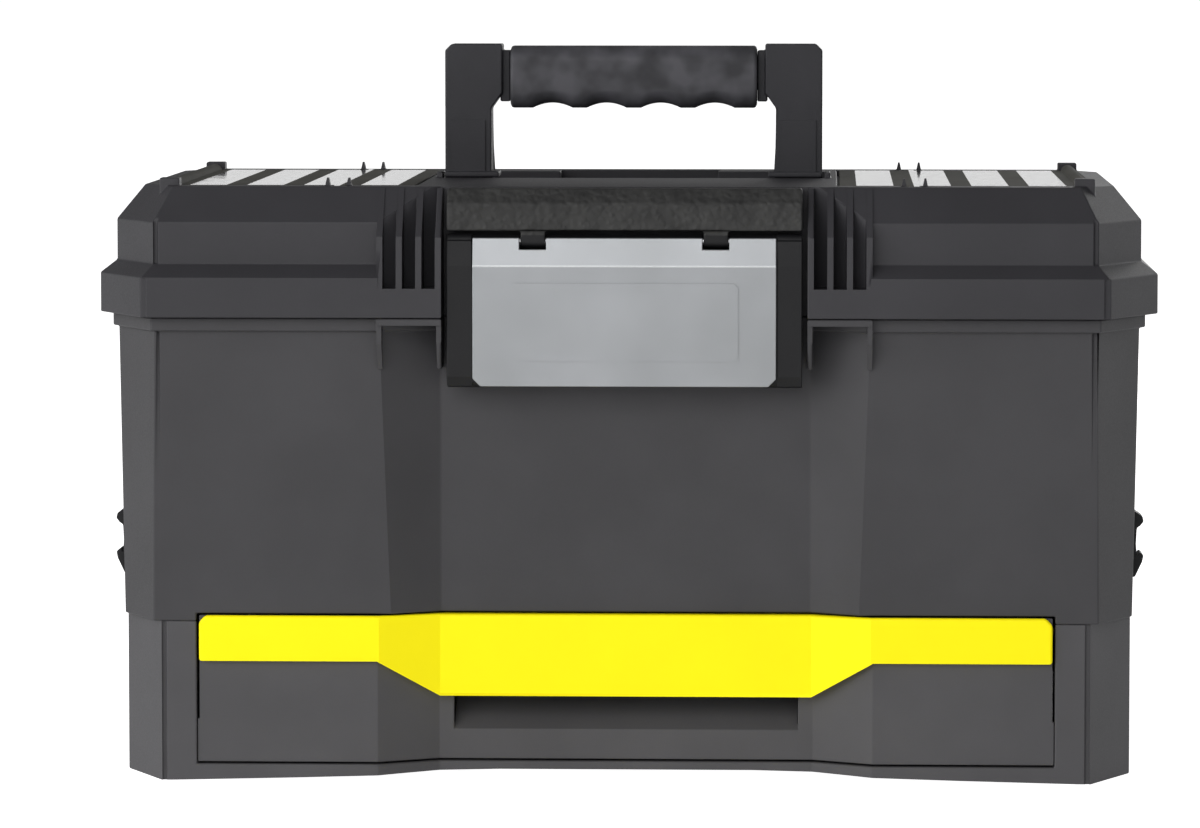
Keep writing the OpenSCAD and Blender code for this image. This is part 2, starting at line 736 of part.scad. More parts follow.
module latch_plate() color(silver) {
    cut = 4.5;
    y = latch_front;
    difference() {
        union() {
            run_x([[y, plate_z0], [y, crease_z], [y + plate_tilt, plate_z1],
                   [y + plate_tilt + plate_t, plate_z1], [y + plate_t, crease_z],
                   [y + plate_t, plate_z0]], -plate_hw, plate_hw);
            // Plain raised panel
            run_y([[-51, part_z - 17], [-49, part_z - 19], [49, part_z - 19], [51, part_z - 17],
                   [51, part_z + 14], [49, part_z + 16], [-49, part_z + 16], [-51, part_z + 14]],
                  y - 0.5, y + 0.5);
        }
        for (s = SIDES) scale_x(s)
            run_y([[plate_hw - cut, plate_z0 - 1], [plate_hw + 1, plate_z0 - 1],
                   [plate_hw + 1, plate_z0 + cut]], y - 2, y + plate_t + 1);
        // Notches for the ears of the bar above
        for (s = SIDES)
            block([s * ear_x - ear_half - 0.5, -far, latch_z - ear_r - 0.6],
                  [s * ear_x + ear_half + 0.5, far, far]);
    }
}
module latch_pin() color(steel)
    rod_x(latch_pin_r, -latch_hw + 0.5, latch_hw - 0.5, latch_y, latch_z);

// ---- Carry handle ----
upright_in = handle_hw - upright_w;
grip_hw = 57.8;
core_h = 15;
core_t = 11;
grip_z0 = grip_top - grip_h - 0.9;
grip_mid = grip_top - 0.9 - grip_h / 2;
core_z = grip_mid + 2;
cuff = 5;
neck_inset = 3;
foot_out = 1.5;
foot_h = 3;
module handle_frame() color(dark_grey) {
    r = upright_t / 2;
    difference() {
        union() {
            for (s = SIDES) scale_x(s) {
                rod_x(r, upright_in, handle_hw, 0, pivot_z);
                block([upright_in, -r, pivot_z], [handle_hw, r, grip_top - 4]);
                // Top of the upright, with eased edges
                run_y([[upright_in - cuff, grip_top - 4], [upright_in - cuff, grip_z0 + 7],
                       [upright_in, grip_z0], [handle_hw, grip_z0], [handle_hw, grip_top - 3],
                       [handle_hw - 3, grip_top], [upright_in - cuff, grip_top]], -r, r);
                // Collar at the foot, just above the lid
                block([upright_in - 3.5, -r - foot_out, top_z + 0.3],
                      [handle_hw, r + foot_out, top_z + foot_h]);
                // Neck between the cuff and the grip
                block([grip_hw, neck_inset - r, grip_z0 + neck_inset],
                      [upright_in - cuff + 1, r - neck_inset, grip_top - neck_inset]);
                // Shoulders on the faces of the upright
                for (e = SIDES)
                    block([upright_in + 3, e > 0 ? r - 1 : -r - 0.8, top_z + 1],
                          [handle_hw - 3, e > 0 ? r + 0.8 : -r + 1, top_z + 27]);
            }
            block([-upright_in, -core_t / 2, core_z - core_h / 2],
                  [upright_in, core_t / 2, core_z + core_h / 2]);
        }
        for (s = SIDES)
            rod_x(pivot_r + fit_gap, s > 0 ? handle_hw - 13 : -handle_hw - 1,
                  s > 0 ? handle_hw + 1 : -handle_hw + 13, 0, pivot_z);
    }
}
module grip_outline(h, t, r) {
    translate([0, 0]) hull() for (a = SIDES) for (b = SIDES)
        translate([a * (t / 2 - r), b * (h / 2 - r)]) circle(r = r, $fn = 32);
}
module handle_grip() color(dark_grey) {
    groove_r = 17;
    groove_pitch = 25.3;
    difference() {
        translate([-grip_hw + 0.2, 0, grip_mid]) rotate([90, 0, 90])
            linear_extrude(2 * grip_hw - 0.4) grip_outline(grip_h, grip_t, 7);
        block([-grip_hw - 1, -core_t / 2 - fit_gap, core_z - core_h / 2 - fit_gap],
              [grip_hw + 1, core_t / 2 + fit_gap, core_z + core_h / 2 + fit_gap]);
        for (i = [-1.5 : 1 : 1.5])
            rod_y(groove_r, -far, far, i * groove_pitch, grip_z0 - groove_r + 2.4);
    }
}
module handle_pins() color(steel) {
    for (s = SIDES)
        rod_x(pivot_r, s > 0 ? handle_hw - 12.5 : -well_in + 1.3,
              s > 0 ? well_in - 1.3 : -handle_hw + 12.5, 0, pivot_z);
}

// ---- Drawer ----
front_g = -base_in - 1;
skin = 3;
panel_z0 = sill_z + 0.8;
panel_z1 = floor_under - 0.9;
panel_hw = bay_hw - run_gap;
tray_z0 = sill_z + 2;
tray_hw = bay_hw - rail_t;
pocket_hw = 78;
pocket_d = 17;
pocket_z0 = sill_z + 14.4;
pocket_rise = 14;
pocket_z1 = panel_z1 - 5;
skin_y = y_front + recess_d - front_g;
tray_y0 = skin_y + pocket_d + tray_wall + 0.6;
tray_y1 = bay_back - 4;
web_xs = [112, 160];
tray_screw_zs = [12, 34];
tray_screw_r = 1.5;
pull_out = 2.1;
pull_z1 = panel_z1 + 0.1;
pull_z0 = pull_z1 - pull_h;
pull_recess = recess_d - 4;
pull_screw_xs = [130, 172];
pull_screw_r = 1.2;

module front_band(g0, g1, half, d0, d1, z0, z1) {
    slab(concat(front_line(g0, half, d0), backwards(front_line(g1, half, d1))), z0, z1);
}
module drawer_front() color(body_grey) {
    difference() {
        union() {
            front_band(front_g, front_g - skin, panel_hw, recess_d, recess_d, panel_z0, panel_z1);
            // Wider foot of the panel, below the slides
            both([panel_hw - 4, y_front - front_g, panel_z0],
                 [bay_hw - 0.4, y_front - front_g + skin, sill_z + 20.4]);
            // Ramp under the finger room, from the panel up towards the tray
            run_x([[skin_y, pocket_z0 - tray_wall * 1.5],
                   [skin_y + pocket_d, pocket_z0 + pocket_rise - tray_wall * 1.5],
                   [skin_y + pocket_d, pocket_z0 + pocket_rise], [skin_y, pocket_z0]],
                  -pocket_hw, pocket_hw);
            for (s = SIDES) for (x = web_xs)
                scale_x(s) block([x - 1.2, y_front - front_g + 1, tray_z0],
                                 [x + 1.2, tray_y0 - fit_gap, tray_z0 + tray_h - 8]);
            for (s = SIDES) for (x = web_xs) for (z = tray_screw_zs)
                rod_y(3.6, tray_y0 - 12, tray_y0 - fit_gap, s * x, tray_z0 + z);
        }
        // Window for the fingers, open above the ramp
        run_x([[-far, pocket_z0], [skin_y, pocket_z0], [skin_y + pocket_d, pocket_z0 + pocket_rise],
               [skin_y + pocket_d, pocket_z1], [-far, pocket_z1]], -pocket_hw, pocket_hw);
        for (s = SIDES) for (x = web_xs) for (z = tray_screw_zs)
            rod_y(tray_screw_r + fit_gap, tray_y0 - 11, tray_y0 + 1, s * x, tray_z0 + z);
        for (s = SIDES) for (x = pull_screw_xs)
            rod_y(pull_screw_r + 0.35, -far, y_front + 12, s * x, pull_z0 + pull_h / 2);
    }
}
module drawer_pull() color(bright_yellow) {
    g0 = front_g + 1 + pull_out;
    lip = 3.2;
    slope_out = recess_out + 1.3;
    slope_in = recess_in + 0.4;
    difference() {
        intersection() {
            front_band(g0, front_g + fit_gap, panel_hw, pull_recess, recess_d, 0, far);
            run_y([[-panel_hw, pull_z0], [-slope_out, pull_z0], [-slope_in, pull_z0 - pull_drop],
                   [slope_in, pull_z0 - pull_drop], [slope_out, pull_z0], [panel_hw, pull_z0],
                   [panel_hw, pull_z1 - 3], [panel_hw - 3, pull_z1],
                   [3 - panel_hw, pull_z1], [-panel_hw, pull_z1 - 3]], -far, wall_y + 20);
        }
        // Finger room behind the lip, open downwards
        block([-pocket_hw, y_front - g0 + pull_recess + lip, 0], [pocket_hw, far, pull_z1 - 2]);
        for (s = SIDES) for (x = pull_screw_xs)
            rod_y(pull_screw_r + fit_gap, y_front - g0 + 1.8, far, s * x, pull_z0 + pull_h / 2);
    }
}
module drawer_pull_screws() color(steel) {
    for (s = SIDES) for (x = pull_screw_xs)
        translate([s * x, y_front - front_g + skin, pull_z0 + pull_h / 2])
            rotate([0, 0, -90]) screw(pull_screw_r, 4, 2.6, 1.8);
}
module drawer_tray() color(dark_grey) {
    r = 5;
    difference() {
        block([-tray_hw, tray_y0, tray_z0], [tray_hw, tray_y1, tray_z0 + tray_h]);
        difference() {
            block([-tray_hw + tray_wall, tray_y0 + tray_wall, tray_z0 + tray_wall],
                  [tray_hw - tray_wall, tray_y1 - tray_wall, far]);
            // Pairs of ribs that hold the dividers
            for (s = SIDES) for (e = SIDES)
                for (y = [tray_y0 + tray_wall, tray_y1 - tray_wall - 2.5])
                    block([s * divider_x + e * 1.8 - 0.7, y, 0],
                          [s * divider_x + e * 1.8 + 0.7, y + 2.5, tray_z0 + tray_h - 3]);
            for (s = SIDES) for (y = rail_screw_ys)
                block([s > 0 ? tray_hw - 8 : -tray_hw, rail_y0 + y - 4.5, rail_z - 4.5],
                      [s > 0 ? tray_hw : -tray_hw + 8, rail_y0 + y + 4.5, rail_z + 4.5]);
        }
        for (s = SIDES) {
            for (y = rail_screw_ys)
                rod_x(rail_screw_r + fit_gap, s > 0 ? tray_hw - 7 : -tray_hw - 1,
                      s > 0 ? tray_hw + 1 : -tray_hw + 7, rail_y0 + y, rail_z);
            for (x = web_xs) for (z = tray_screw_zs)
                rod_y(tray_screw_r + fit_gap, tray_y0 - 1, tray_y0 + tray_wall + 1, s * x, tray_z0 + z);
        }
    }
}
divider_x = 62;
module drawer_dividers() color(body_grey) {
    for (s = SIDES)
        block([s * divider_x - 0.9, tray_y0 + tray_wall + fit_gap, tray_z0 + tray_wall + fit_gap],
              [s * divider_x + 0.9, tray_y1 - tray_wall - fit_gap, tray_z0 + tray_h - 5]);
}
module drawer_front_screws() color(steel) {
    for (s = SIDES) for (x = web_xs) for (z = tray_screw_zs)
        translate([s * x, tray_y0 + tray_wall, tray_z0 + z])
            rotate([0, 0, -90]) screw(tray_screw_r, 11, 3.2, 1.9);
}

// ---- Ball-bearing slides ----
inner_h = rail_h - 2 * sheet - 4 * ball_r - 0.4;
inner_reach = rail_t - 4.4;
cage_len = rail_len - travel - 4;
cage_u = 3.2;
cage_t = 0.5;
ball_u = 7.2;
ball_v = rail_h / 2 - sheet - ball_r - 0.1;
ball_count = 5;
rail_mid = rail_y0 + rail_len / 2;

// Section of a channel: u runs from the bay's wall towards the drawer, v is up
module slide_piece(s, points, y0, y1) {
    scale_x(s) translate([bay_hw, 0, rail_z])
        run_y([for (p = points) [-p[0], p[1]]], y0, y1);
}
function channel(u0, u1, half, t, back) =
    // An open channel from u0 to u1, with its web at u0 or, when back is true, at u1
    back ? [[u0, half], [u1, half], [u1, -half], [u0, -half], [u0, t - half],
            [u1 - t, t - half], [u1 - t, half - t], [u0, half - t]]
         : [[u1, half], [u0, half], [u0, -half], [u1, -half], [u1, t - half],
            [u0 + t, t - half], [u0 + t, half - t], [u1, half - t]];

module outer_rail(s) color(steel) difference() {
    slide_piece(s, channel(0, rail_t - 2.9, rail_h / 2, sheet, false), rail_y0, rail_y0 + rail_len);
    for (y = rail_screw_ys)
        rod_x(rail_screw_r + fit_gap, -far, far, rail_y0 + y, rail_z);
}
module inner_rail(s) color(steel) difference() {
    slide_piece(s, channel(rail_t - inner_reach, rail_t, inner_h / 2, sheet, true),
                rail_y0, rail_y0 + rail_len);
    for (y = rail_screw_ys)
        rod_x(rail_screw_r + fit_gap, -far, far, rail_y0 + y, rail_z);
}
module ball_cage(s) color(silver) {
    half = ball_v + cage_t / 2;
    difference() {
        slide_piece(s, channel(cage_u, rail_t - 3, half, cage_t, false),
                    rail_mid - cage_len / 2, rail_mid + cage_len / 2);
        for (i = [0 : ball_count - 1])
            rod_z(ball_r + 0.15, 0, far, s * (bay_hw - ball_u), ball_y(i));
    }
}
function ball_y(i) = rail_mid + (i - (ball_count - 1) / 2) * cage_len / ball_count;
module bearing_balls(s) color(steel) {
    for (i = [0 : ball_count - 1]) for (v = [-ball_v, ball_v])
        translate([s * (bay_hw - ball_u), ball_y(i), rail_z + v]) sphere(r = ball_r, $fn = 32);
}
module outer_rail_left() outer_rail(-1);
module outer_rail_right() outer_rail(1);
module inner_rail_left() inner_rail(-1);
module inner_rail_right() inner_rail(1);
module ball_cage_left() ball_cage(-1);
module ball_cage_right() ball_cage(1);
module bearing_balls_left() bearing_balls(-1);
module bearing_balls_right() bearing_balls(1);

module outer_rail_screws() color(steel) {
    for (s = SIDES) scale_x(s) for (y = rail_screw_ys)
        translate([bay_hw - sheet, rail_y0 + y, rail_z]) screw(rail_screw_r, 9, 3, 1.5);
}
module inner_rail_screws() color(steel) {
    for (s = SIDES) scale_x(s) for (y = rail_screw_ys)
        translate([bay_hw - rail_t + sheet, rail_y0 + y, rail_z])
            rotate([0, 0, 180]) screw(rail_screw_r, 7.5, 3, 1.5);
}

// ---- Tote tray ----
tote_hw = hw - wall - 7;
tote_wall = 2;
tote_grip_hw = 58;
module tote_form(g, z0, z1) {
    intersection() {
        slab(plan(-wall - 4.5 + g), z0, z1);
        block([-tote_hw - g, tote_y1 - tote_d - g, z0], [tote_hw + g, tote_y1 + g, z1]);
    }
}
module tote_tray() color(dark_grey) {
    z0 = tote_z + 0.3;
    mid_y = tote_y1 - tote_d / 2;
    grip_z = z0 + tote_h + 8;
    difference() {
        tote_form(0, z0, z0 + tote_h);
        difference() {
            tote_form(-tote_wall, z0 + tote_wall, far);
            // Long partition with the carry grip over it, and two cross partitions
            both([tote_grip_hw - 1, mid_y - 1, 0], [far, mid_y + 1, z0 + tote_h - 6]);
            block([-tote_grip_hw, mid_y - 1, 0], [tote_grip_hw, mid_y + 1, z0 + tote_h - 26]);
            both([tote_hw * 0.45, mid_y, 0], [tote_hw * 0.45 + 2, far, z0 + tote_h - 10]);
            both([tote_grip_hw - 10, mid_y - 4, 0], [tote_grip_hw, mid_y + 4, grip_z]);
        }
    }
    for (s = SIDES) scale_x(s)
        block([tote_grip_hw - 10, mid_y - 4, z0 + tote_h - 8], [tote_grip_hw, mid_y + 4, grip_z]);
    block([-tote_grip_hw, mid_y - 7, grip_z - 8], [tote_grip_hw, mid_y + 7, grip_z]);
}

tub();
drawer_housing();
outer_rail_left();
outer_rail_right();
outer_rail_screws();
case_screws();
strap_cleat_left();
strap_cleat_right();
lid_shell();
lid_front_bar();
hinge_pin_left();
hinge_pin_right();
organiser_dividers_left();
organiser_dividers_right();
latch_frame();
latch_plate();
latch_pin();
handle_frame();
handle_grip();
handle_pins();
organiser_lid_left();
organiser_lid_right();
organiser_pins_left();
organiser_pins_right();
drawer_tray();
drawer_front();
drawer_pull();
drawer_dividers();
inner_rail_left();
inner_rail_right();
inner_rail_screws();
drawer_front_screws();
drawer_pull_screws();
ball_cage_left();
ball_cage_right();
bearing_balls_left();
bearing_balls_right();
tote_tray();
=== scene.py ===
import json
import math

import bmesh
import bpy
from mathutils import Matrix, Vector
from mathutils.bvhtree import BVHTree


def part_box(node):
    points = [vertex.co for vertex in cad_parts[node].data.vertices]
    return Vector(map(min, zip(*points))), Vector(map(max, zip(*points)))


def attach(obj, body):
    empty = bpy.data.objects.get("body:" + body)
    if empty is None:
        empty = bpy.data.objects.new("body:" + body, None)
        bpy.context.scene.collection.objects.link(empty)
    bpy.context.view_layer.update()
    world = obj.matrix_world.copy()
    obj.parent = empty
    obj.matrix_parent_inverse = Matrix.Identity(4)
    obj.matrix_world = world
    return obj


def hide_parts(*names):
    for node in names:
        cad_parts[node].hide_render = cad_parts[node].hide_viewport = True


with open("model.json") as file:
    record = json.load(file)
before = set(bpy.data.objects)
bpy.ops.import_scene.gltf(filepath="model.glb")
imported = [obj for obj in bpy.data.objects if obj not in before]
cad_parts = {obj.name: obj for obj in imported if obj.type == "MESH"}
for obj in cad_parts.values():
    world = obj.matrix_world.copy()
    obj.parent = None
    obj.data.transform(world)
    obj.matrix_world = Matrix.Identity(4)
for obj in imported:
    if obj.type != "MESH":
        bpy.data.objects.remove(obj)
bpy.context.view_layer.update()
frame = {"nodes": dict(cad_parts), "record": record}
record = frame["record"]
bodyOfNode = {node: body for body, nodes in record["behaviour"]["bodies"].items() for node in nodes}
slotOfNode = {part["node"]: part["material_slot"] for part in record["subparts"]}
mm = 0.001
print("frame loaded:", len(frame["nodes"]), "nodes")


# small helpers for shader and geometry trees
def addNode(tree, kind, place=(0, 0), **values):
    node = tree.nodes.new(kind)
    node.location = place
    for key, value in values.items():
        setattr(node, key, value)
    return node


def join(tree, out, into):
    tree.links.new(out, into)


def objectPoint(tree, scale=(1, 1, 1)):
    # object coordinates are metres in the shared frame, the same for every piece
    coords = addNode(tree, "ShaderNodeTexCoord", (-1400, 0))
    if tuple(scale) == (1, 1, 1):
        return coords.outputs["Object"]
    mapping = addNode(tree, "ShaderNodeMapping", (-1200, 0))
    mapping.inputs["Scale"].default_value = scale
    join(tree, coords.outputs["Object"], mapping.inputs["Vector"])
    return mapping.outputs["Vector"]


def noise(tree, point, scale, detail=2.0, roughness=0.5, place=(-900, 0)):
    node = addNode(tree, "ShaderNodeTexNoise", place)
    node.inputs["Scale"].default_value = scale
    node.inputs["Detail"].default_value = detail
    node.inputs["Roughness"].default_value = roughness
    join(tree, point, node.inputs["Vector"])
    return node.outputs["Fac"]


def spread(tree, value, low, high, fromLow=0.35, fromHigh=0.65, place=(-600, 0)):
    # turns a 0..1 pattern into a range of values
    node = addNode(tree, "ShaderNodeMapRange", place)
    node.inputs["From Min"].default_value = fromLow
    node.inputs["From Max"].default_value = fromHigh
    node.inputs["To Min"].default_value = low
    node.inputs["To Max"].default_value = high
    join(tree, value, node.inputs["Value"])
    return node.outputs["Result"]


def tint(tree, value, dark, light, place=(-400, 200)):
    node = addNode(tree, "ShaderNodeMix", place, data_type="RGBA")
    node.inputs["A"].default_value = (*dark, 1)
    node.inputs["B"].default_value = (*light, 1)
    join(tree, value, node.inputs["Factor"])
    return node.outputs["Result"]


def bump(tree, height, strength, distance, under=None, place=(-300, -300)):
    node = addNode(tree, "ShaderNodeBump", place)
    node.inputs["Strength"].default_value = strength
    node.inputs["Distance"].default_value = distance
    join(tree, height, node.inputs["Height"])
    if under is not None:
        join(tree, under, node.inputs["Normal"])
    return node.outputs["Normal"]


def startMaterial(name):
    material = bpy.data.materials.new(name)
    material.use_nodes = True
    tree = material.node_tree
    return material, tree, tree.nodes["Principled BSDF"]


def scaled(colour, k):
    return tuple(min(1.0, c * k) for c in colour)


# moulded plastics differ only in these values
mouldedPlastics = {
    # colour, gloss, size of the moulded grain in metres, its depth, and how much the shade wanders
    "case_plastic": dict(colour=(0.0455, 0.0446, 0.048), rough=0.55),
    # the case plastic painted lighter, for the light that the floor throws up onto the low half
    "housing_plastic": dict(colour=(0.069, 0.0675, 0.072), rough=0.55),
    "lid_plastic": dict(colour=(0.0335, 0.0327, 0.0368), rough=0.50),
    "tray_plastic": dict(colour=(0.030, 0.030, 0.033), rough=0.50, grain=0.0006, depth=0.00004, wander=0.12),
    "smoked_plastic": dict(colour=(0.080, 0.078, 0.070), rough=0.72, grain=0.0006, depth=0.00004, wander=0.10,
                           shine=0.05),
    "dark_plastic": dict(colour=(0.006, 0.006, 0.007), rough=0.50, grain=0.0006, depth=0.00004, wander=0.15),
    "handle_plastic": dict(colour=(0.0265, 0.0262, 0.030), rough=0.55, grain=0.0009, depth=0.00006,
                           wander=0.14),
    "pull_yellow": dict(colour=(0.985, 0.86, 0.004), rough=0.42, grain=0.0008, depth=0.00002, wander=0.015,
                        shine=0.12),
}


def mouldedPlastic(name, colour, rough, grain=0.0007, depth=0.00005, wander=0.07, shine=0.25):
    material, tree, shader = startMaterial(name)
    point = objectPoint(tree)
    cloud = noise(tree, point, 18, 3, 0.55, (-900, 300))
    fine = noise(tree, point, 1 / grain, 4, 0.6, (-900, -100))
    join(tree, tint(tree, spread(tree, cloud, 0, 1), scaled(colour, 1 - wander), scaled(colour, 1 + wander)),
         shader.inputs["Base Color"])
    join(tree, spread(tree, fine, rough - 0.05, rough + 0.07, place=(-600, -50)), shader.inputs["Roughness"])
    soft = bump(tree, noise(tree, point, 34, 1, 0.4, (-900, -500)), 0.25, 0.0004, place=(-500, -500))
    join(tree, bump(tree, fine, 0.55, depth, soft), shader.inputs["Normal"])
    shader.inputs["Specular IOR Level"].default_value = shine
    return material


leatherBar = dict(dark=(0.023, 0.023, 0.023), light=(0.040, 0.040, 0.039), cell=0.0032, depth=0.0007,
                  rough=0.55)


def leatherPlastic(name, dark, light, cell, depth, rough):
    # coarse leather-like grain: rounded cells with creases between them
    material, tree, shader = startMaterial(name)
    point = objectPoint(tree)
    warp = addNode(tree, "ShaderNodeTexNoise", (-1150, -300))
    warp.inputs["Scale"].default_value = 0.6 / cell
    join(tree, point, warp.inputs["Vector"])
    shift = addNode(tree, "ShaderNodeVectorMath", (-980, -300), operation="MULTIPLY_ADD")
    shift.inputs[1].default_value = (cell * 0.9,) * 3
    join(tree, warp.outputs["Color"], shift.inputs[0])
    join(tree, point, shift.inputs[2])
    cells = addNode(tree, "ShaderNodeTexVoronoi", (-800, -300), feature="SMOOTH_F1")
    cells.inputs["Scale"].default_value = 1 / cell
    cells.inputs["Smoothness"].default_value = 0.6
    join(tree, shift.outputs["Vector"], cells.inputs["Vector"])
    hill = spread(tree, cells.outputs["Distance"], 1, 0, 0.05, 0.75, (-600, -300))
    blotch = noise(tree, point, 90, 3, 0.6, (-900, 200))
    join(tree, tint(tree, spread(tree, blotch, 0, 1, 0.3, 0.7), dark, light), shader.inputs["Base Color"])
    join(tree, spread(tree, hill, rough + 0.08, rough - 0.06, 0, 1, (-400, -50)), shader.inputs["Roughness"])
    fine = bump(tree, noise(tree, point, 1800, 3, 0.6, (-900, -700)), 0.4, 0.00005, place=(-500, -700))
    join(tree, bump(tree, hill, 0.8, depth, fine), shader.inputs["Normal"])
    shader.inputs["Specular IOR Level"].default_value = 0.2
    return material


softGrip = dict(dark=(0.034, 0.034, 0.038), light=(0.070, 0.069, 0.078), rough=0.56)


def softRubber(name, dark, light, rough):
    # soft-touch skin, with patches where it has been handled that are smoother and also painted lighter as
    # soft highlights
    material, tree, shader = startMaterial(name)
    point = objectPoint(tree)
    patches = noise(tree, point, 75, 2, 0.45, (-900, 300))
    fine = noise(tree, point, 2600, 3, 0.6, (-900, -200))
    # the lighter colour of the patches is a painted highlight; their lower roughness below is the real
    # handled skin
    join(tree, tint(tree, spread(tree, patches, 0, 1, 0.36, 0.66), dark, light), shader.inputs["Base Color"])
    join(tree, spread(tree, patches, rough + 0.06, rough - 0.10, place=(-600, 0)), shader.inputs["Roughness"])
    broad = bump(tree, patches, 0.35, 0.0011, place=(-500, -450))
    join(tree, bump(tree, fine, 0.5, 0.00004, broad), shader.inputs["Normal"])
    shader.inputs["Specular IOR Level"].default_value = 0.25
    return material


# a lighter silver for the band along the plate's crease: a painted highlight
creaseHighlightPaint = dict(dark=(0.44, 0.45, 0.46), light=(0.50, 0.51, 0.52), rough=0.30)
silverPaint = dict(dark=(0.272, 0.282, 0.292), light=(0.320, 0.330, 0.345), rough=0.36)


def silverLacquer(name, dark, light, rough):
    # satin silver paint: fine flakes under a thin clear coat
    material, tree, shader = startMaterial(name)
    point = objectPoint(tree)
    flakes = noise(tree, point, 3800, 2, 0.7, (-900, 0))
    drift = noise(tree, point, 22, 2, 0.5, (-900, 300))
    join(tree, tint(tree, spread(tree, drift, 0, 1, 0.3, 0.7), dark, light), shader.inputs["Base Color"])
    join(tree, spread(tree, flakes, rough - 0.05, rough + 0.08), shader.inputs["Roughness"])
    join(tree, bump(tree, flakes, 0.25, 0.00002), shader.inputs["Normal"])
    shader.inputs["Metallic"].default_value = 0.55
    shader.inputs["Coat Weight"].default_value = 0.15
    shader.inputs["Coat Roughness"].default_value = 0.25
    return material


platedSteel = dict(dark=(0.40, 0.40, 0.42), light=(0.62, 0.62, 0.64), rough=0.30)


def zincSteel(name, dark, light, rough):
    # zinc plate with drawn streaks along Y and a faint clouding
    material, tree, shader = startMaterial(name)
    streaks = noise(tree, objectPoint(tree, (1, 0.02, 1)), 2400, 3, 0.6, (-900, -100))
    cloud = noise(tree, objectPoint(tree), 160, 3, 0.6, (-900, 300))
    join(tree, tint(tree, spread(tree, cloud, 0, 1, 0.3, 0.7), dark, light), shader.inputs["Base Color"])
    join(tree, spread(tree, streaks, rough - 0.06, rough + 0.12), shader.inputs["Roughness"])
    join(tree, bump(tree, streaks, 0.2, 0.00002), shader.inputs["Normal"])
    shader.inputs["Metallic"].default_value = 1
    return material


clearLid = dict(colour=(0.93, 0.95, 0.96), rough=0.05)


def clearPlastic(name, colour, rough):
    # clear sheet with the faint ripple of a moulding
    material, tree, shader = startMaterial(name)
    point = objectPoint(tree)
    ripple = noise(tree, point, 30, 1, 0.4, (-900, -200))
    haze = noise(tree, point, 260, 3, 0.6, (-900, 100))
    join(tree, spread(tree, haze, rough, rough + 0.05), shader.inputs["Roughness"])
    join(tree, bump(tree, ripple, 0.2, 0.0006), shader.inputs["Normal"])
    shader.inputs["Base Color"].default_value = (*colour, 1)
    shader.inputs["Transmission Weight"].default_value = 1
    shader.inputs["IOR"].default_value = 1.5
    return material


finishes = {slot: mouldedPlastic(slot, **settings) for slot, settings in mouldedPlastics.items()}
finishes["bar_texture"] = leatherPlastic("bar_texture", **leatherBar)
finishes["grip_rubber"] = softRubber("grip_rubber", **softGrip)
finishes["latch_silver"] = silverLacquer("latch_silver", **silverPaint)
finishes["rubbed_silver"] = silverLacquer("rubbed_silver", **creaseHighlightPaint)
finishes["zinc_steel"] = zincSteel("zinc_steel", **platedSteel)
finishes["clear_plastic"] = clearPlastic("clear_plastic", **clearLid)
print("materials ready:", len(finishes))


# moulded shells: copies of the CAD solids with their edges rounded
rounding = dict(
    sharpest=math.radians(24), least=0.5,  # edges that turn less, or are shorter in radii, are left alone
    merge=0.000012, shortest=0.000008, flat=math.radians(0.35),  # joining the CAD triangles
    tries=6,
    stray=0.75, fold=-0.3, speck=1e-9,  # how far a point may stray, in radii, and when a face is folded
    reach=3, wider=2,  # radii round a bad point within which corners are left sharp, and more at each try
)


def cleanCopy(node):
    # the CAD mesh as joined, large flat faces
    work = bmesh.new()
    work.from_mesh(frame["nodes"][node].data)
    bmesh.ops.remove_doubles(work, verts=work.verts, dist=rounding["merge"])
    bmesh.ops.dissolve_degenerate(work, dist=rounding["shortest"], edges=work.edges)
    bmesh.ops.dissolve_limit(work, angle_limit=rounding["flat"], verts=work.verts, edges=work.edges,
                             use_dissolve_boundaries=False)
    bmesh.ops.recalc_face_normals(work, faces=work.faces)
    return work


def roundEdges(work, width, segments):
    # rounds the sharp edges, leaving alone any corner where the rounding would spike or fold
    shape = BVHTree.FromBMesh(work)
    barred = set()
    for attempt in range(rounding["tries"]):
        trial = work.copy()
        trial.verts.ensure_lookup_table()
        edges = [e for e in trial.edges
                 if e.is_manifold and e.calc_face_angle(0) > rounding["sharpest"]
                 and e.calc_length() > width * rounding["least"]
                 and e.verts[0].index not in barred and e.verts[1].index not in barred]
        bmesh.ops.bevel(trial, geom=edges, offset=width, offset_type="OFFSET", segments=segments, profile=0.5,
                        affect="EDGES", clamp_overlap=False, miter_outer="SHARP", miter_inner="SHARP")
        bad = []
        for vert in trial.verts:
            gap = shape.find_nearest(vert.co)[3]
            if gap is None or gap > width * rounding["stray"]:
                bad.append(vert.co.copy())
        for face in trial.faces:
            centre = face.calc_center_median()
            normal = shape.find_nearest(centre)[1]
            if (normal is not None and face.calc_area() > rounding["speck"]
                    and face.normal.dot(normal) < rounding["fold"]):
                bad.append(centre)
        if not bad:
            break
        reach = width * (rounding["reach"] + attempt * rounding["wider"])
        fresh = {vert.index for point in bad for vert in work.verts
                 if vert.index not in barred and (vert.co - point).length < reach}
        if not fresh:
            break
        barred |= fresh
        if attempt < rounding["tries"] - 1:
            trial.free()
    work.free()
    return trial, len(barred)


def keepMesh(name, work, material):
    mesh = bpy.data.meshes.new(name)
    work.to_mesh(mesh)
    work.free()
    mesh.materials.clear()
    mesh.materials.append(material)
    mesh.shade_smooth()
    piece = bpy.data.objects.new(name, mesh)
    bpy.context.scene.collection.objects.link(piece)
    return piece


def applyModifiers(piece):
    dg = bpy.context.evaluated_depsgraph_get()
    mesh = bpy.data.meshes.new_from_object(piece.evaluated_get(dg), preserve_all_data_layers=True,
                                           depsgraph=dg)
    old = piece.data
    piece.modifiers.clear()
    piece.data = mesh
    bpy.data.meshes.remove(old)
    mesh.name = piece.name
    return piece


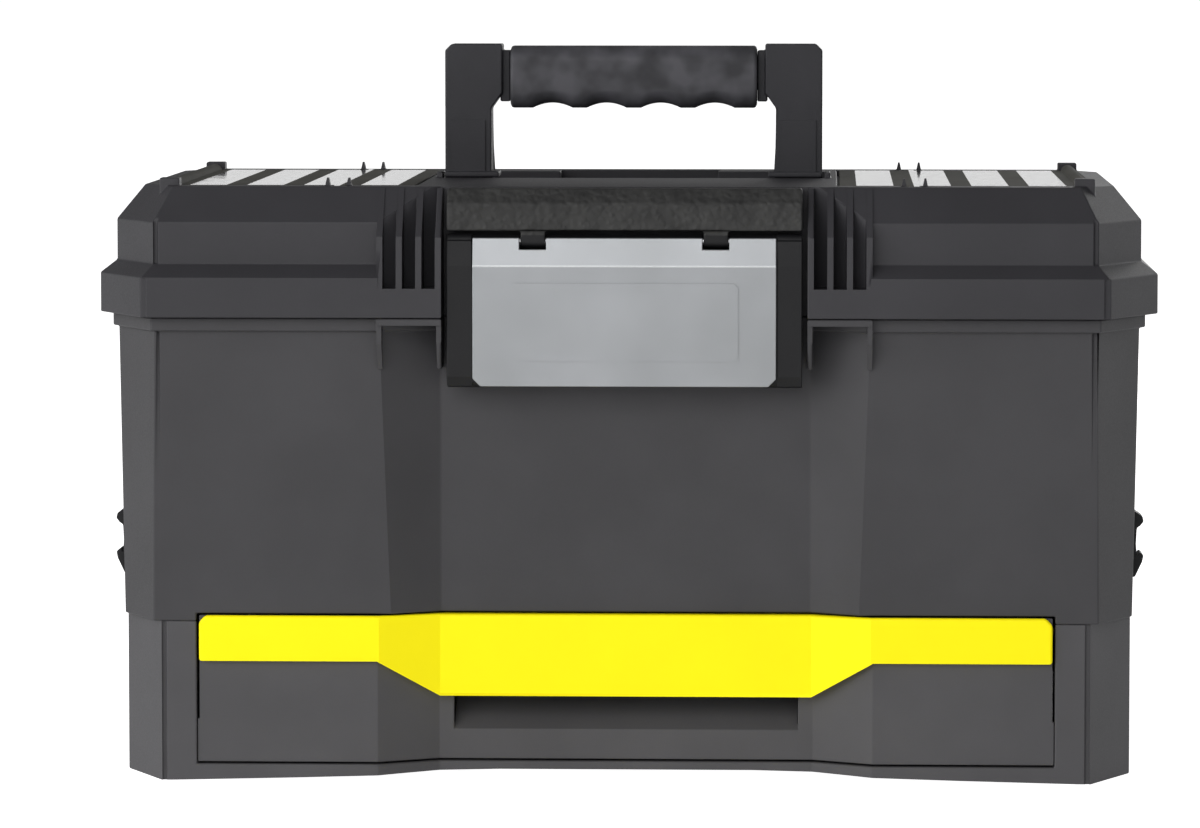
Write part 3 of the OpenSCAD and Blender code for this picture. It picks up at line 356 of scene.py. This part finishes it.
def evenNormals(piece, wide=3.5 * mm, bend=math.cos(math.radians(55))):
    # broad faces stay quite flat, and the narrow strips of a rounding carry the whole turn between them
    work = bmesh.new()
    work.from_mesh(piece.data)
    work.normal_update()
    area = [face.calc_area() for face in work.faces]
    broad = [area[face.index] >= wide * max(e.calc_length() for e in face.edges) for face in work.faces]
    normals = []
    for face in work.faces:
        for loop in face.loops:
            if broad[face.index]:
                normals.append(face.normal.copy())
                continue
            near = [g for g in loop.vert.link_faces if g.normal.dot(face.normal) > bend]
            flat = [g for g in near if broad[g.index]]
            if flat:
                edges = set(face.edges)
                touching = [g for g in flat if edges & set(g.edges)] or flat
                best = max(touching, key=lambda g: g.normal.dot(face.normal))
                normals.append(best.normal.copy())
                continue
            total = Vector((0, 0, 0))
            for g in near:
                total += g.normal * (area[g.index] + 1e-12)
            normals.append(total.normalized() if total.length > 0 else face.normal.copy())
    work.free()
    piece.data.shade_smooth()
    piece.data.normals_split_custom_set([tuple(n) for n in normals])


def camel(node):
    words = node.split("_")
    return words[0] + "".join(w.capitalize() for w in words[1:])


def seat(piece, *nodes):
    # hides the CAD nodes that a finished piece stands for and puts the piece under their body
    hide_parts(*nodes)
    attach(piece, bodyOfNode[nodes[0]])
    return piece


roundings = {
    # node: edge radius in mm and segments
    "tub": (0.8, 2), "drawer_housing": (0.8, 2), "strap_cleat_left": (0.6, 2), "strap_cleat_right": (0.6, 2),
    "lid_shell": (0.6, 2), "lid_front_bar": (1.0, 3),
    "organiser_dividers_left": (0.35, 2), "organiser_dividers_right": (0.35, 2),
    "latch_frame": (0.5, 2), "latch_plate": (0.4, 2), "handle_frame": (0.8, 3),
    "organiser_lid_left": (0.4, 2), "organiser_lid_right": (0.4, 2),
    "drawer_tray": (0.5, 2), "drawer_front": (0.5, 2), "drawer_pull": (1.3, 3), "drawer_dividers": (0.4, 2),
    "outer_rail_left": (0.3, 2), "outer_rail_right": (0.3, 2), "inner_rail_left": (0.3, 2),
    "inner_rail_right": (0.3, 2), "ball_cage_left": (0.12, 1), "ball_cage_right": (0.12, 1),
    "tote_tray": (0.6, 2), "latch_pin": (0.4, 2), "hinge_pin_left": (0.5, 2), "hinge_pin_right": (0.5, 2),
    "handle_pins": (0.5, 2), "organiser_pins_left": (0.3, 2), "organiser_pins_right": (0.3, 2),
}


def sliceAt(work, axis, values):
    # cuts straight across the mesh, so that a band of it can take another finish
    for value in values:
        spot, way = Vector((0, 0, 0)), Vector((0, 0, 0))
        spot[axis], way[axis] = value, 1
        bmesh.ops.bisect_plane(work, geom=work.verts[:] + work.edges[:] + work.faces[:], dist=1e-6,
                               plane_co=spot, plane_no=way)


# frosted dark bands of the clear lids, over the walls between the compartments and along the hinge, in mm
lidBands = dict(centres=(99.2, 125.15, 151.1, 177.05, 203.0), half=4.6, hingeFrom=200.5)


def bandLid(work):
    edges = [sign * (c + side) * mm for sign in (-1, 1) for c in lidBands["centres"]
             for side in (-lidBands["half"], lidBands["half"])]
    sliceAt(work, 0, edges)
    for face in work.faces:
        x = abs(face.calc_center_median().x) / mm
        face.material_index = int(any(abs(x - c) < lidBands["half"] for c in lidBands["centres"])
                                  or x > lidBands["hingeFrom"])


# the bent line across the latch plate, painted brighter as a highlight, and the lugs under the bar, in mm
plateCrease = dict(z=233.6, half=0.38)
barLugs = dict(top=247.4)


# the thin band along the crease takes the lighter silver, a painted highlight
def bandPlate(work):
    z, half = plateCrease["z"], plateCrease["half"]
    sliceAt(work, 2, [(z - half) * mm, (z + half) * mm])
    for face in work.faces:
        face.material_index = int(abs(face.calc_center_median().z / mm - z) < half)


def bandLugs(work):
    sliceAt(work, 2, [barLugs["top"] * mm])
    for face in work.faces:
        face.material_index = int(face.calc_center_median().z < barLugs["top"] * mm)


bands = {
    "organiser_lid_left": (bandLid, "smoked_plastic"), "organiser_lid_right": (bandLid, "smoked_plastic"),
    "latch_plate": (bandPlate, "rubbed_silver"), "lid_front_bar": (bandLugs, "dark_plastic"),
}

# nodes in another shade than their slot's: the low half painted lighter, standing in for light bounced up
# from the floor, the trays darker
finishOfNode = {
    "drawer_housing": "housing_plastic", "drawer_front": "housing_plastic",
    "tote_tray": "tray_plastic", "drawer_tray": "tray_plastic", "drawer_dividers": "tray_plastic",
    "organiser_dividers_left": "tray_plastic", "organiser_dividers_right": "tray_plastic",
}

for node, (radius, segments) in roundings.items():
    work, left = roundEdges(cleanCopy(node), radius * mm, segments)
    paint, second = bands.get(node, (None, None))
    if paint:
        paint(work)
        marks = [face.material_index for face in work.faces]
    piece = keepMesh(camel(node), work, finishes[finishOfNode.get(node, slotOfNode[node])])
    if second:
        piece.data.materials.append(finishes[second])
        piece.data.polygons.foreach_set("material_index", marks)
    evenNormals(piece)
    seat(piece, node)
    print("softened", node, len(piece.data.polygons), "faces,", left, "corners left sharp")


def startTree(name, inputs):
    tree = bpy.data.node_groups.new(name, "GeometryNodeTree")
    tree.interface.new_socket("Geometry", in_out="OUTPUT", socket_type="NodeSocketGeometry")
    for label, kind, value in inputs:
        socket = tree.interface.new_socket(label, in_out="INPUT", socket_type=kind)
        if value is not None:
            socket.default_value = value
    return tree, addNode(tree, "NodeGroupInput", (-1400, 0)), addNode(tree, "NodeGroupOutput", (1200, 0))


def arith(tree, operation, a, b=None, c=None, place=(0, 0)):
    # one arithmetic node; each operand is a socket or a plain number
    node = addNode(tree, "ShaderNodeMath", place, operation=operation)
    for slot, value in enumerate((a, b, c)):
        if value is None:
            continue
        if isinstance(value, (int, float)):
            node.inputs[slot].default_value = value
        else:
            join(tree, value, node.inputs[slot])
    return node.outputs[0]


def runTree(piece, tree, values):
    modifier = piece.modifiers.new(tree.name, "NODES")
    modifier.node_group = tree
    for socket in tree.interface.items_tree:
        if socket.in_out == "INPUT" and socket.name in values:
            modifier[socket.identifier] = values[socket.name]
    applyModifiers(piece)
    return piece


def finishTree(tree, geometry, entry, leave):
    real = addNode(tree, "GeometryNodeRealizeInstances", (700, 0))
    shade = addNode(tree, "GeometryNodeSetShadeSmooth", (860, 0))
    shade.inputs["Shade Smooth"].default_value = True
    finish = addNode(tree, "GeometryNodeSetMaterial", (1020, 0))
    join(tree, geometry, real.inputs[0])
    join(tree, real.outputs[0], shade.inputs[0])
    join(tree, shade.outputs[0], finish.inputs["Geometry"])
    join(tree, entry.outputs["Finish"], finish.inputs["Material"])
    join(tree, finish.outputs[0], leave.inputs[0])


def emptyPiece(name, points=(), turns=()):
    mesh = bpy.data.meshes.new(name)
    mesh.from_pydata([tuple(p) for p in points], [], [])
    if turns:
        mesh.attributes.new("turn", "FLOAT_VECTOR", "POINT").data.foreach_set(
            "vector", [c for t in turns for c in t])
    piece = bpy.data.objects.new(name, mesh)
    bpy.context.scene.collection.objects.link(piece)
    return piece


# points along the grip and round its corners, and how far down its side the scallops begin and are full
gripSteps = dict(along=231, corner=10, scallopFrom=0.15, scallopFull=0.9)


def gripTree():
    # a rounded bar whose underside rises in evenly spaced finger scallops and whose ends are eased
    tree, entry, leave = startTree("scallopedGrip", [
        ("Length", "NodeSocketFloat", 0.11), ("Height", "NodeSocketFloat", 0.029),
        ("Depth", "NodeSocketFloat", 0.023), ("Corner", "NodeSocketFloat", 0.007),
        ("Pitch", "NodeSocketFloat", 0.025), ("Rise", "NodeSocketFloat", 0.0024),
        ("Reach", "NodeSocketFloat", 0.009), ("Ease", "NodeSocketFloat", 0.0015),
        ("Finish", "NodeSocketMaterial", None)])
    length, height, depth, corner, pitch, rise, reach, ease = entry.outputs[:8]
    columns = iter(range(-1300, 2000, 60))  # keeps the sums from lying on top of each other

    def calc(operation, a, b=None, c=None):
        return arith(tree, operation, a, b, c, (next(columns), -600))

    # the bar: a filleted rectangle swept along a straight line
    half = calc("MULTIPLY", length, 0.5)
    start = addNode(tree, "ShaderNodeCombineXYZ", (-1000, 400))
    end = addNode(tree, "ShaderNodeCombineXYZ", (-1000, 250))
    join(tree, calc("MULTIPLY", half, -1), start.inputs[0])
    join(tree, half, end.inputs[0])
    line = addNode(tree, "GeometryNodeCurvePrimitiveLine", (-800, 300))
    join(tree, start.outputs[0], line.inputs["Start"])
    join(tree, end.outputs[0], line.inputs["End"])
    steps = addNode(tree, "GeometryNodeResampleCurve", (-600, 300))
    steps.inputs["Count"].default_value = gripSteps["along"]
    join(tree, line.outputs[0], steps.inputs["Curve"])
    upright = addNode(tree, "GeometryNodeSetCurveNormal", (-450, 300), mode="Z_UP")
    join(tree, steps.outputs[0], upright.inputs["Curve"])
    section = addNode(tree, "GeometryNodeCurvePrimitiveQuadrilateral", (-800, 0))
    join(tree, depth, section.inputs["Width"])
    join(tree, height, section.inputs["Height"])
    fillet = addNode(tree, "GeometryNodeFilletCurve", (-600, 0), mode="POLY")
    fillet.inputs["Count"].default_value = gripSteps["corner"]
    join(tree, section.outputs[0], fillet.inputs["Curve"])
    join(tree, corner, fillet.inputs["Radius"])
    sweep = addNode(tree, "GeometryNodeCurveToMesh", (-300, 200))
    sweep.inputs["Fill Caps"].default_value = True
    join(tree, upright.outputs[0], sweep.inputs["Curve"])
    join(tree, fillet.outputs[0], sweep.inputs["Profile Curve"])

    # the scallops: a hump under each finger, for two pitches each way from the middle
    spot = addNode(tree, "GeometryNodeInputPosition", (-1200, -300))
    axes = addNode(tree, "ShaderNodeSeparateXYZ", (-1050, -300))
    join(tree, spot.outputs[0], axes.inputs[0])
    x, y, z = axes.outputs
    halfPitch = calc("MULTIPLY", pitch, 0.5)
    fromHump = calc("WRAP", calc("SUBTRACT", x, halfPitch), halfPitch, calc("MULTIPLY", halfPitch, -1))
    share = calc("DIVIDE", fromHump, reach)
    hump = calc("MAXIMUM", calc("SUBTRACT", 1, calc("MULTIPLY", share, share)), 0)
    away = calc("ABSOLUTE", x)
    inside = calc("LESS_THAN", away, calc("MULTIPLY", pitch, 2))
    halfHeight = calc("MULTIPLY", height, 0.5)
    weight = addNode(tree, "ShaderNodeMapRange", (-450, -850), interpolation_type="SMOOTHSTEP")
    weight.inputs["From Min"].default_value = gripSteps["scallopFrom"]
    weight.inputs["From Max"].default_value = gripSteps["scallopFull"]
    join(tree, calc("DIVIDE", calc("MULTIPLY", z, -1), halfHeight), weight.inputs["Value"])
    lift = calc("MULTIPLY", calc("MULTIPLY", hump, inside), calc("MULTIPLY", weight.outputs[0], rise))

    # the ends: a quarter circle that draws the outline in
    short = calc("MAXIMUM", calc("SUBTRACT", ease, calc("SUBTRACT", half, away)), 0)
    rest = calc("SUBTRACT", calc("MULTIPLY", ease, ease), calc("MULTIPLY", short, short))
    drop = calc("SUBTRACT", ease, calc("SQRT", calc("MAXIMUM", rest, 0)))
    inset = calc("DIVIDE", drop, calc("MULTIPLY", halfHeight, -1))
    shift = addNode(tree, "ShaderNodeCombineXYZ", (650, -700))
    join(tree, calc("MULTIPLY", y, inset), shift.inputs[1])
    join(tree, calc("MULTIPLY_ADD", z, inset, lift), shift.inputs[2])
    carve = addNode(tree, "GeometryNodeSetPosition", (500, 100))
    join(tree, sweep.outputs[0], carve.inputs["Geometry"])
    join(tree, shift.outputs[0], carve.inputs["Offset"])
    finishTree(tree, carve.outputs[0], entry, leave)
    return tree


def copiesTree():
    # one part, turned and set at every point
    tree, entry, leave = startTree("placedCopies", [
        ("Points", "NodeSocketGeometry", None), ("Part", "NodeSocketObject", None),
        ("Finish", "NodeSocketMaterial", None)])
    part = addNode(tree, "GeometryNodeObjectInfo", (-400, -200))
    join(tree, entry.outputs["Part"], part.inputs["Object"])
    turn = addNode(tree, "GeometryNodeInputNamedAttribute", (-600, -400), data_type="FLOAT_VECTOR")
    turn.inputs["Name"].default_value = "turn"
    way = addNode(tree, "FunctionNodeEulerToRotation", (-400, -400))
    join(tree, turn.outputs["Attribute"], way.inputs[0])
    place = addNode(tree, "GeometryNodeInstanceOnPoints", (0, 0))
    join(tree, entry.outputs["Points"], place.inputs["Points"])
    join(tree, part.outputs["Geometry"], place.inputs["Instance"])
    join(tree, way.outputs[0], place.inputs["Rotation"])
    finishTree(tree, place.outputs[0], entry, leave)
    return tree


ballSteps = dict(round=32, over=16)


def ballsTree():
    # bearing balls at the points
    tree, entry, leave = startTree("bearingBalls", [
        ("Points", "NodeSocketGeometry", None), ("Radius", "NodeSocketFloat", 0.002),
        ("Finish", "NodeSocketMaterial", None)])
    ball = addNode(tree, "GeometryNodeMeshUVSphere", (-400, -200))
    ball.inputs["Segments"].default_value = ballSteps["round"]
    ball.inputs["Rings"].default_value = ballSteps["over"]
    join(tree, entry.outputs["Radius"], ball.inputs["Radius"])
    place = addNode(tree, "GeometryNodeInstanceOnPoints", (0, 0))
    join(tree, entry.outputs["Points"], place.inputs["Points"])
    join(tree, ball.outputs[0], place.inputs["Instance"])
    finishTree(tree, place.outputs[0], entry, leave)
    return tree


# how close points are one, how deep a screw's end band is, and the longest share of it that is head
reading = dict(weld=0.00001, end=0.0002, headShare=0.6)


def looseParts(node):
    # the separate solids of one CAD node, each as a list of its points
    work = bmesh.new()
    work.from_mesh(frame["nodes"][node].data)
    bmesh.ops.remove_doubles(work, verts=work.verts, dist=reading["weld"])
    seen, parts = set(), []
    for vert in work.verts:
        if vert in seen:
            continue
        seen.add(vert)
        group, queue = [], [vert]
        while queue:
            v = queue.pop()
            group.append(v.co.copy())
            for edge in v.link_edges:
                other = edge.other_vert(v)
                if other not in seen:
                    seen.add(other)
                    queue.append(other)
        parts.append(group)
    work.free()
    return parts


def extent(points):
    low = Vector([min(p[i] for p in points) for i in range(3)])
    high = Vector([max(p[i] for p in points) for i in range(3)])
    return low, high


# the soft sleeve of the handle
gripSizes = dict(Corner=0.0075, Pitch=0.0253, Rise=0.0024, Reach=0.0092, Ease=0.0016)
low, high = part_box("handle_grip")
grip = emptyPiece("handleGrip")
across, deep, tall = (b - a for a, b in zip(low, high))
gripSizes.update(Length=across, Height=tall, Depth=deep, Finish=finishes["grip_rubber"])
runTree(grip, gripTree(), gripSizes)
size = extent([v.co for v in grip.data.vertices])
print("grip swept", [round(c * 1000, 1) for c in size[1] - size[0]])
grip.data.transform(Matrix.Translation((Vector(low) + Vector(high)) / 2))
seat(grip, "handle_grip")

# screws: one turned part for each kind, set at every place the CAD has one
screwLook = dict(sides=28, threadPitch=0.0008, threadDepth=0.00022, recessWidth=0.30, recessReach=0.55)


def screwPart(name, shank, length, head, headHeight,
              sides, threadPitch, threadDepth, recessWidth, recessReach):
    # a turned pan-head screw: the seat of its head is at the origin and the thread runs along +X
    depth = min(threadDepth, shank * 0.2)
    outline = [(-headHeight, 0.0), (-headHeight, head * 0.45), (-headHeight * 0.86, head * 0.78),
               (-headHeight * 0.5, head * 0.96), (-headHeight * 0.2, head), (0.0, head), (0.0, shank)]
    turns = max(3, int((length - shank * 1.2) / threadPitch))
    for i in range(turns):
        x = threadPitch * (i + 0.4)
        outline += [(x, shank - depth), (x + threadPitch * 0.5, shank)]
    outline += [(length - shank * 0.6, shank - depth), (length, shank * 0.4), (length, 0.0)]
    work = bmesh.new()
    verts = [work.verts.new((x, r, 0)) for x, r in outline]
    edges = [work.edges.new(pair) for pair in zip(verts, verts[1:])]
    bmesh.ops.spin(work, geom=verts + edges, cent=(0, 0, 0), axis=(1, 0, 0), angle=math.tau, steps=sides,
                   use_merge=True)
    bmesh.ops.remove_doubles(work, verts=work.verts, dist=1e-7)
    bmesh.ops.recalc_face_normals(work, faces=work.faces)
    part = keepMesh(name, work, finishes["zinc_steel"])
    cutter = bmesh.new()
    for turn in (0, math.pi / 2):
        blade = bmesh.ops.create_cube(cutter, size=1)["verts"]
        bladeSize = (headHeight * 1.1, head * 2 * recessReach, head * recessWidth)
        bmesh.ops.scale(cutter, vec=bladeSize, verts=blade)
        bmesh.ops.rotate(cutter, cent=(0, 0, 0), matrix=Matrix.Rotation(turn, 3, "X"), verts=blade)
        bmesh.ops.translate(cutter, vec=(-headHeight * 0.98, 0, 0), verts=blade)
    blades = keepMesh(name + "Blades", cutter, finishes["zinc_steel"])
    cut = part.modifiers.new("recess", "BOOLEAN")
    cut.object, cut.operation, cut.solver, cut.use_self = blades, "DIFFERENCE", "EXACT", True
    applyModifiers(part)
    part.data.set_sharp_from_angle(angle=math.radians(34))
    bpy.data.objects.remove(blades)
    return part


def readScrew(points):
    # direction from head to tip, place of the seat, and sizes, from one CAD screw
    low, high = extent(points)
    size = high - low
    axis = max(range(3), key=lambda i: size[i])
    centre = (low + high) / 2

    def fromAxis(p):
        return math.hypot(*(p[i] - centre[i] for i in range(3) if i != axis))

    def girth(end):
        return max(fromAxis(p) for p in points if abs(p[axis] - end) < reading["end"])

    atLow, atHigh = girth(low[axis]), girth(high[axis])
    sign = 1 if atLow > atHigh else -1
    headEnd = low[axis] if sign > 0 else high[axis]
    head, shank = max(atLow, atHigh), min(atLow, atHigh)
    far = size[axis] * reading["headShare"]
    wide = [abs(p[axis] - headEnd) for p in points
            if fromAxis(p) > (head + shank) / 2 and abs(p[axis] - headEnd) < far]
    height = max(wide)
    way = Vector((0, 0, 0))
    way[axis] = sign
    spot = centre.copy()
    spot[axis] = headEnd + sign * height
    return way, spot, dict(shank=shank, length=size[axis] - height, head=head, headHeight=height)


copies = copiesTree()
screwNodes = ("outer_rail_screws", "case_screws", "inner_rail_screws", "drawer_front_screws",
              "drawer_pull_screws")
for node in screwNodes:
    read = [readScrew(points) for points in looseParts(node)]
    part = screwPart(camel(node) + "Part", **read[0][2], **screwLook)
    turns = [Vector((1, 0, 0)).rotation_difference(way).to_euler() for way, _, _ in read]
    screws = emptyPiece(camel(node), [spot for _, spot, _ in read], turns)
    runTree(screws, copies, dict(Part=part, Finish=finishes["zinc_steel"]))
    bpy.data.objects.remove(part)
    seat(screws, node)
    print("screws set", node, len(read), {k: round(v * 1000, 2) for k, v in read[0][2].items()})

balls = ballsTree()
for node in ("bearing_balls_left", "bearing_balls_right"):
    boxes = [extent(points) for points in looseParts(node)]
    race = emptyPiece(camel(node), [(a + b) / 2 for a, b in boxes])
    runTree(race, balls, dict(Radius=(boxes[0][1][2] - boxes[0][0][2]) / 2, Finish=finishes["zinc_steel"]))
    seat(race, node)
print("screws and balls ready")


# camera, floor and lights
view = dict(camera=(0.092, -2.83, 0.373), target=(-0.011, -0.1315, 0.167), lens=181, sensor=36, far=50)
lamps = {
    # place, target, size in metres, watts
    "sideLamp": dict(at=(-2.4, -1.3, 0.7), to=(0, 0, 0.15), size=(2.1, 2.1), power=38),
    "frontLamp": dict(at=(-1.0, -3.1, 1.5), to=(0, 0, 0.15), size=(3.0, 1.8), power=53),
    "backLamp": dict(at=(1.4, 2.6, 1.0), to=(0, 0, 0.15), size=(2.4, 1.4), power=24),
}
# the floor shines more for the camera than for the object, so that it comes out white
floorLook = dict(dark=(0.90, 0.90, 0.90), light=(0.93, 0.93, 0.93), half=12, drop=0.0002,
                 glow=0.42, shownGlow=1.0)
# sky brightness at the horizon and overhead, the heights between which it changes, and what the camera sees
sky = dict(horizon=0.84, overhead=0.22, low=0.05, high=0.16, shown=1.05)


def aim(thing, target):
    thing.rotation_euler = (Vector(target) - thing.location).to_track_quat("-Z", "Y").to_euler()


def setCamera():
    camera = bpy.data.objects.new("camera", bpy.data.cameras.new("camera"))
    camera.location = view["camera"]
    camera.data.lens = view["lens"]
    camera.data.sensor_width = view["sensor"]
    camera.data.clip_end = view["far"]
    aim(camera, view["target"])
    bpy.context.scene.collection.objects.link(camera)
    bpy.context.scene.camera = camera


def setLamps():
    for name, lamp in lamps.items():
        light = bpy.data.lights.new(name, "AREA")
        light.shape = "RECTANGLE"
        light.size, light.size_y = lamp["size"]
        light.energy = lamp["power"]
        holder = bpy.data.objects.new(name, light)
        holder.location = lamp["at"]
        aim(holder, lamp["to"])
        bpy.context.scene.collection.objects.link(holder)


def setFloor():
    bm = bmesh.new()
    bmesh.ops.create_grid(bm, x_segments=8, y_segments=8, size=floorLook["half"])
    mesh = bpy.data.meshes.new("floor")
    bm.to_mesh(mesh)
    bm.free()
    floor = bpy.data.objects.new("floor", mesh)
    floor.location = (0, 0, -floorLook["drop"])
    material, tree, shader = startMaterial("paleFloor")
    grain = noise(tree, objectPoint(tree), 6, 2, 0.5)
    join(tree, tint(tree, grain, floorLook["dark"], floorLook["light"]), shader.inputs["Base Color"])
    shader.inputs["Roughness"].default_value = 0.9
    shader.inputs["Specular IOR Level"].default_value = 0.1
    shader.inputs["Emission Color"].default_value = (1, 1, 1, 1)
    seen = addNode(tree, "ShaderNodeLightPath", (-900, -400))
    toCamera = seen.outputs["Is Camera Ray"]
    glow = spread(tree, toCamera, floorLook["glow"], floorLook["shownGlow"], 0, 1, (-600, -400))
    join(tree, glow, shader.inputs["Emission Strength"])
    mesh.materials.append(material)
    bpy.context.scene.collection.objects.link(floor)


def setSky():
    # bright at the horizon and dimmer overhead, so upward slopes read darker than upright faces
    world = bpy.data.worlds.new("studio")
    bpy.context.scene.world = world
    world.use_nodes = True
    tree = world.node_tree
    lit = tree.nodes["Background"]
    heading = addNode(tree, "ShaderNodeTexCoord", (-900, 0))
    split = addNode(tree, "ShaderNodeSeparateXYZ", (-700, 0))
    join(tree, heading.outputs["Generated"], split.inputs[0])
    fade = spread(tree, split.outputs["Z"], sky["horizon"], sky["overhead"], sky["low"], sky["high"],
                  (-500, 0))
    join(tree, fade, lit.inputs["Strength"])
    lit.inputs["Color"].default_value = (1, 1, 1, 1)
    shown = addNode(tree, "ShaderNodeBackground", (0, -200))
    shown.inputs["Color"].default_value = (1, 1, 1, 1)
    shown.inputs["Strength"].default_value = sky["shown"]
    path = addNode(tree, "ShaderNodeLightPath", (-200, 200))
    blend = addNode(tree, "ShaderNodeMixShader", (250, 0))
    join(tree, path.outputs["Is Camera Ray"], blend.inputs[0])
    join(tree, lit.outputs[0], blend.inputs[1])
    join(tree, shown.outputs[0], blend.inputs[2])
    join(tree, blend.outputs[0], tree.nodes["World Output"].inputs["Surface"])


setCamera()
setLamps()
setFloor()
setSky()
bpy.context.scene.view_settings.view_transform = "Standard"
print("stage ready")
